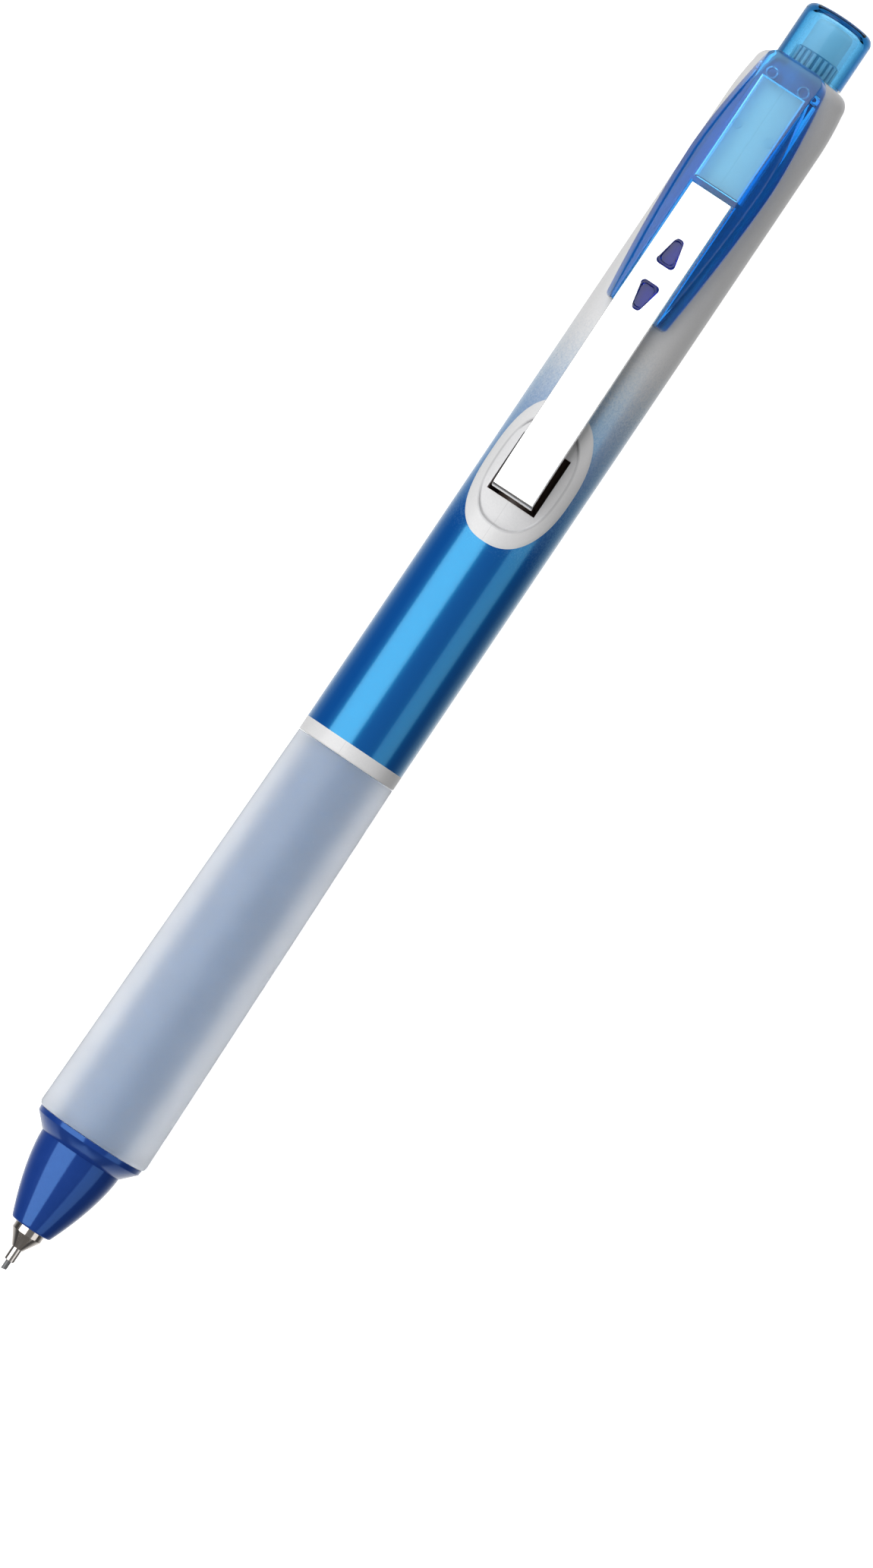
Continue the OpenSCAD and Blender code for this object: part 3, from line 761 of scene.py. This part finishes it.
def make_nose():
    """The nose: a swelling cone, a bevelled flange, and a threaded neck inside the barrel."""
    flange = GRIP_R - 0.25
    rise = 1.35
    flange_low = NOSE_LOW + NOSE_HEIGHT
    high = span("nose_cone")[1]
    neck, neck_bore = 3.3, 2.67
    seat = GRIP_LOW - 0.9
    profile = rounded(
        [(TIP_R + FIT, NOSE_LOW), (nose_radius(NOSE_LOW), NOSE_LOW, 0.3)]
        + [(nose_radius(u), u) for u in spread(NOSE_LOW, flange_low, 24)]
        + [(NOSE_R + 0.12, flange_low + 0.05), (flange - 0.05, flange_low + rise, 0.15),
           (flange, GRIP_LOW - 0.05, 0.06), (neck, GRIP_LOW - 0.04), (neck, high, 0.2),
           (neck_bore, high), (neck_bore, seat), (TIP_R + FIT, seat)])
    turned("nose", profile, DEEP_GLOSS, "nose", ("nose_cone",), segments=200)


def make_grip():
    """The silicone grip, which narrows towards the barrel."""
    bore = CORE_R + FIT
    top_r = BARREL_R - 0.03
    profile = rounded([
        (bore, GRIP_LOW), (GRIP_R - 0.15, GRIP_LOW, 0.12), (GRIP_R, GRIP_LOW + 0.35, 0.3),
        (top_r, GRIP_HIGH, 0.12), (bore, GRIP_HIGH)])
    turned("frosted_grip", profile, SILICONE, "barrel", ("grip_sleeve",),
           segments=200)


def make_core():
    """The blue front tube under the grip."""
    low, high = span("front_barrel")
    shoulder = low + 6.6
    bore = 3.57
    profile = rounded([
        (bore, low), (CORE_R, low), (CORE_R, high, 0.3), (bore - 0.5, high),
        (bore - 0.5, shoulder), (bore, shoulder)])
    turned("front_tube", profile, BLUE_CORE, "barrel", ("front_barrel",))


# ---- the barrel

SLOT_HALF_WIDTH = CLIP_WIDTH / 2 + 0.42
SLOT_LOW = CLIP_LOW - 0.36
SLOT_HIGH = SLOT_LOW + 6.4


def beside_slot(up):
    """Whether a height lies between the slot's ends or on them."""
    return SLOT_LOW - 1e-4 < up < SLOT_HIGH + 1e-4


def crown():
    """The barrel's outside from its lower end to its lip, as (radius, up)."""
    draw, bend, drawn = 0.35, 1.5, 6.0
    lip = GUIDE_R + 0.2
    edge = BARREL_R - draw
    steps = 10
    side = [(BARREL_R - draw * (i / steps) ** 2, BARREL_HIGH - drawn + (drawn - bend) * i / steps)
            for i in range(steps + 1)]
    turn = [(lip + (edge - lip) * math.cos(a), BARREL_HIGH - bend + bend * math.sin(a))
            for a in [math.radians(7.5 * i) for i in range(1, 13)]]
    return side + turn


def in_oval(across, up, half_width, half_length):
    """How far a place lies inside an oval round the pad's centre: 1 there, and 0 at its rim."""
    x, y = abs(across) / half_width, abs(up - PAD_UP) / half_length
    return 1.0 - (x ** OVAL_POWER + y ** OVAL_POWER) ** (1 / OVAL_POWER)


def dish_drop(across, up):
    """How far the pad's dish lies below the barrel's round surface."""
    floor_r, depth, wall = 8.0, 0.5, 0.035
    if abs(across) > DISH_HALF_WIDTH:
        return 0.0
    barrel = math.sqrt(BARREL_R ** 2 - across ** 2)
    dish = BARREL_R - depth - floor_r + math.sqrt(floor_r ** 2 - across ** 2)
    inside = in_oval(across, up, DISH_HALF_WIDTH, DISH_HALF_LENGTH)
    return max(0.0, barrel - dish) * smooth(inside / wall)


def pad_rise(across, up):
    """How far the pad stands proud of the paint, on the clip's side."""
    height, wall = 0.04, 0.03
    return height * smooth(in_oval(across, up, PAD_HALF_WIDTH, PAD_HALF_LENGTH) / wall)


def barrel_rows():
    """Heights of the barrel's rings: close together round the pad, and on the slot's ends."""
    low, high = PAD_UP - PAD_HALF_LENGTH - 0.3, PAD_UP + PAD_HALF_LENGTH + 0.3
    pitch = 0.11
    fine = [low] + spread(low, high, round((high - low) / pitch))
    for edge in (SLOT_LOW, SLOT_HIGH):
        nearest = min(range(len(fine)), key=lambda i: abs(fine[i] - edge))
        fine[nearest] = edge
    coarse = [BARREL_LOW + 0.1, BARREL_LOW + 0.3] + spread(BARREL_LOW + 0.3, low, 12)[:-1]
    return coarse + fine + spread(high, crown()[0][1], 14)[:-1]


def barrel_columns():
    """Angles of the barrel's columns from the clip's side, with some on the slot's sides."""
    edge = math.asin(SLOT_HALF_WIDTH / BARREL_R)
    wide = math.asin(PAD_HALF_WIDTH / BARREL_R) + 0.05
    half = [0.0] + spread(0.0, edge, 26) + spread(edge, wide, 26) + spread(wide, math.pi, 44)
    return [-a for a in half[-2:0:-1]] + half


def column_at(columns, across):
    """The index of the column on the clip's side that is nearest to a place across."""
    def distance(i):
        on_clip_side = abs(columns[i]) < 1.5
        return abs(BARREL_R * math.sin(columns[i]) - across) if on_clip_side else math.inf
    return min(range(len(columns)), key=distance)


def make_barrel():
    """The painted barrel, with a dished pad and a slot for the clip's foot."""
    rows = barrel_rows()
    columns = barrel_columns()
    n = len(columns)
    points, faces = [], []

    def ring(radius, up, shaped=False):
        first = len(points)
        for angle in columns:
            across, out = radius * math.sin(angle), radius * math.cos(angle)
            if shaped and out > 0:
                out += pad_rise(across, up) - dish_drop(across, up)
            points.append((across, out, up))
        return first

    def inner_ring(radius, up):
        first = len(points)
        for angle in columns:
            across = max(-radius, min(radius, BARREL_R * math.sin(angle)))
            straight = math.asin(across / radius)
            if abs(angle) > math.pi / 2:
                straight = math.copysign(math.pi, angle) - straight
            turn = straight + (angle - straight) * smooth((abs(angle) - 0.55) / 0.6)
            points.append((radius * math.sin(turn), radius * math.cos(turn), up))
        return first

    outer = [ring(BARREL_R - 0.08, BARREL_LOW)]
    outer += [ring(BARREL_R, up, True) for up in rows]
    outer += [ring(radius, up) for radius, up in crown()]
    guide_low = CAP_LOW - 4.0 - 0.6
    inner = [ring(GUIDE_R, BARREL_HIGH), ring(GUIDE_R, guide_low)]
    inner_rows = [guide_low] + [up for up in reversed(rows) if up < guide_low] + [BARREL_LOW]
    inner += [inner_ring(BORE_R, up) for up in inner_rows]
    in_slot = range(column_at(columns, -SLOT_HALF_WIDTH), column_at(columns, SLOT_HALF_WIDTH))
    chain = outer + inner
    for low, high in zip(chain, chain[1:] + chain[:1]):
        heights = points[low][2], points[high][2]
        cut = all(beside_slot(height) for height in heights)
        for i in range(n):
            if cut and i in in_slot:
                continue
            j = (i + 1) % n
            faces.append([low + i, low + j, high + j, high + i])
    faces += slot_walls(points, outer, inner, in_slot)
    thing = new_piece("painted_barrel", (points, faces))
    finished(thing, BARREL_PAINT, "barrel", ("rear_barrel",))


def slot_walls(points, outer, inner, in_slot):
    """The four walls of the slot, between the barrel's outside and its bore."""
    top, bottom = (sorted((first for first in rings if beside_slot(points[first][2])),
                          key=lambda first: points[first][2]) for rings in (outer, inner))
    left, right = in_slot[0], in_slot[-1] + 1
    walls = []
    for column in (left, right):
        for k in range(len(top) - 1):
            ends = (top[k], top[k + 1], bottom[k + 1], bottom[k])
            walls.append([first + column for first in ends])
    for k in (0, -1):
        for i in in_slot:
            walls.append([top[k] + i, top[k] + i + 1, bottom[k] + i + 1, bottom[k] + i])
    return walls


# ---- the clip and its holder

CLIP_SHEET = 0.5
CLIP_EDGE = 1.1
CLIP_BEND_R = 0.8
CLIP_TIP_FACE = BARREL_R + 0.6
FOOT = BARREL_R - 1.6
STUD_LOW = HOLDER_LOW + 0.3
STUD_STEP = 4.95
STUD_HEIGHT = 3.0
STUD_WIDTH = 2.2
STUD_ROUND = 0.45
STUDS = ((STUD_LOW + STUD_STEP, 1), (STUD_LOW + STUD_HEIGHT, -1))
CHANNEL_FLOOR = CLIP_FACE - CLIP_EDGE - FIT


def clip_face(up):
    """Height of the clip's face over the axis."""
    dip, dip_length = 0.45, 5.0
    if up > CLIP_BEND:
        return CLIP_FACE
    u = (CLIP_BEND - up) / (CLIP_BEND - CLIP_LOW)
    near = max(0.0, (CLIP_LOW + dip_length - up) / dip_length)
    return CLIP_FACE - (CLIP_FACE - CLIP_TIP_FACE - dip) * u - dip * near ** 1.5


def clip_path():
    """The clip's outer face from its top to the end of its foot: place, and which way is out."""
    bend_up = CLIP_LOW + CLIP_BEND_R
    bend_out = clip_face(bend_up) - CLIP_BEND_R
    path = []
    for up in [CLIP_HIGH] + spread(CLIP_HIGH, bend_up, 70):
        slope = (clip_face(up + 0.01) - clip_face(up - 0.01)) / 0.02
        normal = Vector((1.0, -slope)).normalized()
        path.append(((clip_face(up), up), tuple(normal)))
    for i in range(1, 13):
        turn = math.radians(90 * i / 12)
        normal = (math.cos(turn), -math.sin(turn))
        point = (bend_out + CLIP_BEND_R * normal[0], bend_up + CLIP_BEND_R * normal[1])
        path.append((point, normal))
    for out in spread(bend_out, FOOT, 4):
        path.append(((out, CLIP_LOW), (0.0, -1.0)))
    return path


def clip_section(fold):
    """The clip's section as (across, depth below its face), with both edges folded in by fold."""
    half = CLIP_WIDTH / 2
    right = rounded([
        (0.0, 0.0), (half, 0.0, 0.09), (half, fold, 0.12), (half - CLIP_SHEET * 0.9, fold, 0.12),
        (half - CLIP_SHEET * 0.9, CLIP_SHEET, 0.05), (0.0, CLIP_SHEET)], steps=5)
    return right + [(-across, depth) for across, depth in reversed(right)][1:-1]


def make_clip():
    """The chromed clip: a strip with folded edges whose end turns down into the slot."""
    path = clip_path()
    bend_up = CLIP_LOW + CLIP_BEND_R
    sections = []
    for (out, up), normal in path:
        near = max(0.0, 1 - (up - bend_up) / 3.0)
        fold = CLIP_EDGE - (CLIP_EDGE - CLIP_SHEET - 0.02) * min(1.0, near) ** 2
        if normal[1] < -0.05:
            fold = CLIP_SHEET + 0.02
        sections.append([(across, out - normal[0] * depth, up - normal[1] * depth)
                         for across, depth in clip_section(fold)])
    thing = new_piece("pocket_clip", loft(sections))
    for base, flip in STUDS:
        carve(thing, stud_shape(base, flip, [(FIT, CLIP_FACE - 1.5), (FIT, CLIP_FACE + 1)]))
    bend_start, bend_end = CLIP_BEND + 1.0, CLIP_BEND - 7.0
    blend = ("barrel", "clip", place(0, CLIP_FACE, bend_start), place(0, CLIP_FACE, bend_end))
    finished(thing, CHROME, blend, ("clip_base", "clip_arm"))


def stud_outline(grow):
    """A triangle with round corners, its base at height 0 and its apex up."""
    low, high = -grow, STUD_HEIGHT + grow
    half = STUD_WIDTH / 2 + grow
    top = 0.42
    return rounded([
        (-half, low, STUD_ROUND), (half, low, STUD_ROUND), (top, high, STUD_ROUND * 0.9),
        (-top, high, STUD_ROUND * 0.9)], steps=6)


def stud_shape(base, flip, rings):
    """A stud from its base, up or down by flip, as rings of (how far it grows, out)."""
    return loft([[(x, out, base + flip * y) for x, y in stud_outline(grow)]
                 for grow, out in rings])


HOLDER_HALF = reach("clip_holder")
HOLDER_RISE = 2.55
HOLDER_WIDE = HOLDER_LOW + 16.6
PRONG_NARROW = 1.17
TOP_NARROW = 1.27
PRONG_ROUND = 0.5
TOP_ROUND = 1.2
END_ROUND = 0.5
TOP_HALF = 2.6
SHOULDER = 0.75
WINDOW = 0.72


def paint_holder_edge_shade():
    """Paints a darker blue along the holder's outline: painted shade for the dark edges of clear
    plastic that is looked through edgeways.
    """
    across, _, up = CLEAR_BLUE.where()
    low_run = ((HOLDER_WIDE - up) / (HOLDER_WIDE - HOLDER_LOW)).clamped()
    high_run = ((up - HOLDER_WIDE) / (HOLDER_HIGH - HOLDER_WIDE)).clamped()
    half = HOLDER_HALF - (low_run ** 1.6) * PRONG_NARROW - (high_run ** 1.6) * TOP_NARROW
    edge = (half - abs(across)).ramp(0.5, 0.05) * up.ramp(HOLDER_HIGH - 0.2, HOLDER_HIGH - 1.2)
    CLEAR_BLUE.set("Base Color", CLEAR_BLUE.mix(edge, (0.95, 0.98, 1.0), (0.40, 0.40, 0.80)))


def drop_of(distance, radius):
    """How far a round corner falls away at a distance into it."""
    return 0.0 if distance <= 0 else radius - math.sqrt(max(0.0, radius ** 2 - distance ** 2))


def holder_section(up):
    """One closed section of the clip holder, as (across, out, up)."""
    low_side = up < HOLDER_WIDE
    run = (HOLDER_WIDE - up) / (HOLDER_WIDE - HOLDER_LOW) if low_side \
        else (up - HOLDER_WIDE) / (HOLDER_HIGH - HOLDER_WIDE)
    leaf = HOLDER_HALF - (PRONG_NARROW if low_side else TOP_NARROW) * run ** 1.6
    top_corner = drop_of(up - (HOLDER_HIGH - TOP_ROUND), TOP_ROUND)
    half = leaf - top_corner - drop_of(HOLDER_LOW + PRONG_ROUND - up, PRONG_ROUND)
    flat = min(half - 0.4, TOP_HALF + (0.0 if low_side else 0.4 * run))
    top = BARREL_R + HOLDER_RISE - (0.3 * run ** 2 if low_side else 0.0) \
        - drop_of(up - (HOLDER_HIGH - END_ROUND), END_ROUND)
    base = math.sqrt(BARREL_R ** 2 - HOLDER_HALF ** 2) - 0.3
    slope = 0.33 * max(0.0, half - SHOULDER - flat)
    right = rounded([
        (0.0, top), (flat, top, 0.15), (max(flat + 0.1, half - SHOULDER), top - slope, 0.6),
        (half, top - 1.8, 0.6), (half - 0.05, top - 2.6, 0.3), (half - 0.5, base)], steps=5)
    outline = right + [(-across, out) for across, out in reversed(right)][:-1]
    return [(across, out, up) for across, out in outline]


def box_shape(half, levels, heights):
    """A box that reaches half to each side, between two levels out and two heights."""
    low, high = heights
    outline = [(-half, low), (half, low), (half, high), (-half, high)]
    return loft([[(across, out, up) for across, up in outline] for out in levels])


def make_holder():
    """The clear holder: a leaf-shaped block that ends in two prongs beside the clip."""
    heights = [HOLDER_LOW + PRONG_ROUND * (1 - math.cos(math.radians(15 * i))) for i in range(7)]
    straight = (HOLDER_LOW + PRONG_ROUND, HOLDER_HIGH - TOP_ROUND)
    heights += spread(*straight, 60)
    heights += [straight[1] + TOP_ROUND * math.sin(math.radians(9 * i)) for i in range(1, 11)]
    thing = new_piece("clear_clip_holder", loft([holder_section(up) for up in heights]))
    seat, low, high = BARREL_R + FIT, HOLDER_LOW - 2, HOLDER_HIGH + 2
    carve(thing, lathe([(0, low), (seat, low), (seat, high), (0, high)]))
    channel = CLIP_WIDTH / 2 + 0.15
    levels = (CHANNEL_FLOOR, CHANNEL_FLOOR + 6)
    carve(thing, box_shape(channel, levels, (HOLDER_LOW - 1, CLIP_HIGH + 0.15)))
    roof = BARREL_R + HOLDER_RISE - WINDOW
    paint_holder_edge_shade()
    carve(thing, pocket_shape(CLIP_HIGH + 0.65, BARREL_HIGH - 2.9, roof))
    pin, well = 0.48, 0.62
    upper, lower = BARREL_HIGH - 2.3, BARREL_HIGH - 8.2
    for side in (-1.8, 1.8):
        carve(thing, pin_shape(side, upper, well, 3.0, roof - 0.35))
        carve(thing, pin_shape(side, upper, pin, BARREL_R - 0.27, roof + 0.1), "UNION")
        carve(thing, pin_shape(side, lower, pin, roof - 0.2, roof + 0.1), "UNION")
    finished(thing, CLEAR_BLUE, "barrel", ("clip_holder",), sharp=28.0)


def pin_shape(across, up, radius, low, high):
    """A round pin that stands towards the clip's side."""
    return loft([[(across + a, out, up + u) for a, u in arc((0, 0), radius, 0, 337.5, 15)]
                 for out in (low, high)])


def pocket_shape(low, high, roof):
    """The hollow behind the holder's window, whose edges are eased under the window."""
    half, ease = 2.46, 0.15
    levels = [(0.0, 2.0), (0.0, roof - ease), (ease, roof)]
    return loft([
        [(side * (half - inset), out, up) for side, up in (
            (-1, low + inset), (1, low + inset), (1, high - inset), (-1, high - inset))]
        for inset, out in levels])


def make_tongue():
    """The tongue under the clip's root, with the two studs that stand through its holes. It is
    tinted deeper than the holder: painted shade for the shadow under the clip.
    """
    tongue = CLIP_WIDTH / 2 - CLIP_SHEET - FIT
    under = CLIP_FACE - CLIP_SHEET - FIT
    levels = (CHANNEL_FLOOR + 0.02, under)
    thing = new_piece("clip_studs", box_shape(tongue, levels, (HOLDER_LOW + 0.1, CLIP_HIGH)))
    for base, flip in STUDS:
        rings = [(0.0, under - 0.2), (0.0, CLIP_FACE + 0.1), (-0.12, CLIP_FACE + 0.28),
                 (-0.26, CLIP_FACE + 0.28), (-0.36, CLIP_FACE + 0.1)]
        carve(thing, stud_shape(base, flip, rings), "UNION")
    finished(thing, SHADED_CLEAR_BLUE, "barrel", sharp=28.0)


# ---- eraser and cap

ERASER_R = reach("eraser")
RIB_COUNT = 24


def make_cap():
    """The clear cap: a thick shell with a shallow dome."""
    bore = COLLAR_R + SLIDE
    dome, edge, roof = 0.25, 0.9, 0.9
    skirt = CAP_R - 0.25
    shank = BARREL_HIGH + 0.3
    side_top = CAP_HIGH - dome - edge
    corner = arc((CAP_R - edge, side_top), edge, 0, 75, 8)
    crown_points = [((CAP_R - edge) * (1 - i / 8), CAP_HIGH - dome * (1 - i / 8) ** 2)
                    for i in range(9)]
    ceiling = CAP_HIGH - roof
    inside = arc((bore - 0.6, ceiling - 0.6), 0.6, 90, 0, 8)
    profile = ([(0.0, ceiling)] + inside + [(bore, CAP_LOW + 0.4), (bore + 0.4, CAP_LOW),
               (skirt, CAP_LOW), (skirt, shank), (CAP_R, shank)] + corner + crown_points)
    turned("clear_push_cap", profile, CAP_BLUE, "cap", ("push_cap",))


def make_eraser():
    """The white eraser with its rounded end."""
    low, high = span("eraser")
    edge = 0.75
    end = arc((ERASER_R - edge, high - edge), edge, 0, 90, 10)
    profile = [(0.0, low), (ERASER_R, low)] + end + [(0.0, high)]
    turned("eraser_stick", profile, ERASER, "eraser_unit", ("eraser",))


class Growth:
    """A Geometry Nodes tree with named sizes, grown once into a plain mesh."""

    def __init__(self, name, finish, **sizes):
        self.name = name
        self.finish = finish
        self.sizes = sizes
        self.tree = bpy.data.node_groups.new(name, "GeometryNodeTree")
        face = self.tree.interface
        face.new_socket("Geometry", in_out="OUTPUT", socket_type="NodeSocketGeometry")
        self.identifiers = {}
        for size, value in sizes.items():
            kind = "NodeSocketInt" if isinstance(value, int) else "NodeSocketFloat"
            socket = face.new_socket(size, in_out="INPUT", socket_type=kind)
            self.identifiers[size] = socket.identifier
        self.entry = self.tree.nodes.new("NodeGroupInput")
        self.exit = self.tree.nodes.new("NodeGroupOutput")

    def add(self, kind, settings=None, inputs=None, output=0):
        """Adds a node and returns one of its outputs. A text value names one of the sizes."""
        node = self.tree.nodes.new(kind)
        for name, value in (settings or {}).items():
            setattr(node, name, value)
        for key, value in (inputs or {}).items():
            if isinstance(value, str):
                value = self.entry.outputs[value]
            if isinstance(value, bpy.types.NodeSocket):
                self.tree.links.new(value, node.inputs[key])
            else:
                node.inputs[key].default_value = value
        return node.outputs[output]

    def hoop(self, resolution, size):
        """A curve that runs once round a circle."""
        values = {"Resolution": resolution, "Radius": size}
        return self.add("GeometryNodeCurvePrimitiveCircle", inputs=values)

    def grow(self, geometry, up, body, slot, stands_for=()):
        """Lays the geometry along the pencil at a height and makes it a finished plain piece."""
        values = {0: geometry, "Rotation": (0.0, math.pi / 2, 0.0), "Translation": place(0, 0, up)}
        laid = self.add("GeometryNodeTransform", inputs=values)
        real = self.add("GeometryNodeRealizeInstances", inputs={0: laid})
        values = {0: real, "Material": self.finish.material}
        dressed = self.add("GeometryNodeSetMaterial", inputs=values)
        self.tree.links.new(dressed, self.exit.inputs[0])
        thing = new_object(self.name, bpy.data.meshes.new(self.name))
        modifier = thing.modifiers.new("growth", "NODES")
        modifier.node_group = self.tree
        for size, value in self.sizes.items():
            modifier[self.identifiers[size]] = value
        plain_mesh(thing)
        finished(thing, self.finish, body, stands_for)


def make_collar():
    """The eraser's collar: a plain tube with ribs round it that the cap grips."""
    low, high = span("eraser_holder")
    base = high - 6.5
    plug = 1.72
    rib = 0.2
    body_r, cup_r, cup_floor = COLLAR_R - rib, ERASER_R + FIT, high - 4.5
    profile = rounded([
        (0.0, low), (plug, low), (plug, base), (body_r, base, 0.1), (body_r, high, 0.1),
        (cup_r, high), (cup_r, cup_floor), (0.0, cup_floor)])
    turned("eraser_collar", profile, RIBBED, "eraser_unit", ("eraser_holder",))
    growth = Growth("collar_ribs", RIBBED, Count=RIB_COUNT, Radius=body_r * MM,
                    Rib=rib * MM, Length=(high - base - 0.3) * MM)
    ring = growth.add("GeometryNodeMeshCircle", inputs={"Vertices": "Count", "Radius": "Radius"})
    rib_shape = growth.add("GeometryNodeMeshCylinder",
                           inputs={"Vertices": 12, "Radius": "Rib", "Depth": "Length"})
    values = {"Points": ring, "Instance": rib_shape}
    ribs = growth.add("GeometryNodeInstanceOnPoints", inputs=values)
    growth.grow(ribs, (base + high) / 2, "eraser_unit", "pale_clear")


def make_thread():
    """The crests of the nose's thread, one ring for each turn."""
    pitch, radius, crest, turns = 1.0, 3.33, 0.17, 5
    growth = Growth("nose_thread", DEEP_GLOSS, Turns=turns, Pitch=pitch * MM, Radius=radius * MM,
                    Crest=crest * MM)
    values = {"Curve": growth.hoop(96, "Radius"), "Profile Curve": growth.hoop(10, "Crest")}
    ring = growth.add("GeometryNodeCurveToMesh", inputs=values)
    offset = growth.add("ShaderNodeCombineXYZ", inputs={"Z": "Pitch"})
    values = {"Count": "Turns", "Offset": offset}
    line = growth.add("GeometryNodeMeshLine", {"mode": "OFFSET"}, values)
    rings = growth.add("GeometryNodeInstanceOnPoints", inputs={"Points": line, "Instance": ring})
    growth.grow(rings, GRIP_LOW + 0.5, "nose", "blue_gloss")


def make_spring():
    """The return spring: a coil of round wire, baked in place."""
    low, high = span("return_spring")
    wire = 0.15
    radius = reach("return_spring") - wire
    growth = Growth("coil_spring", WIRE, Turns=11.0, Radius=radius * MM,
                    Height=(high - low - 2 * wire) * MM, Wire=wire * MM)
    coil = growth.add("GeometryNodeCurveSpiral", inputs={
        "Resolution": 32, "Rotations": "Turns", "Start Radius": "Radius", "End Radius": "Radius",
        "Height": "Height"})
    wound = growth.add("GeometryNodeCurveToMesh", inputs={
        "Curve": coil, "Profile Curve": growth.hoop(12, "Wire"), "Fill Caps": True})
    blend = ("barrel", "pusher", place(0, 0, low + wire), place(0, 0, high - wire))
    growth.grow(wound, low + wire, blend, "spring_wire", ("return_spring",))


# ---- pieces that keep their own shape

def dress_inner_pieces():
    """The pieces inside keep their shapes and get their finishes."""
    finishes = {
        "lead_retainer": BLACK_RUBBER, "clutch_sleeve": SATIN_STEEL, "clutch_ring": BRASS,
        "chuck": BRASS, "chuck_joint": WHITE_PLASTIC, "lead_tank": SMOKE_PLASTIC,
        "spare_leads": GRAPHITE}
    for node, finish in finishes.items():
        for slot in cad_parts[node].material_slots:
            slot.material = finish.material


make_lead()
make_sleeve()
make_tip()
make_nose()
make_thread()
make_grip()
make_core()
make_barrel()
make_clip()
make_holder()
make_tongue()
make_cap()
make_eraser()
make_collar()
make_spring()
dress_inner_pieces()
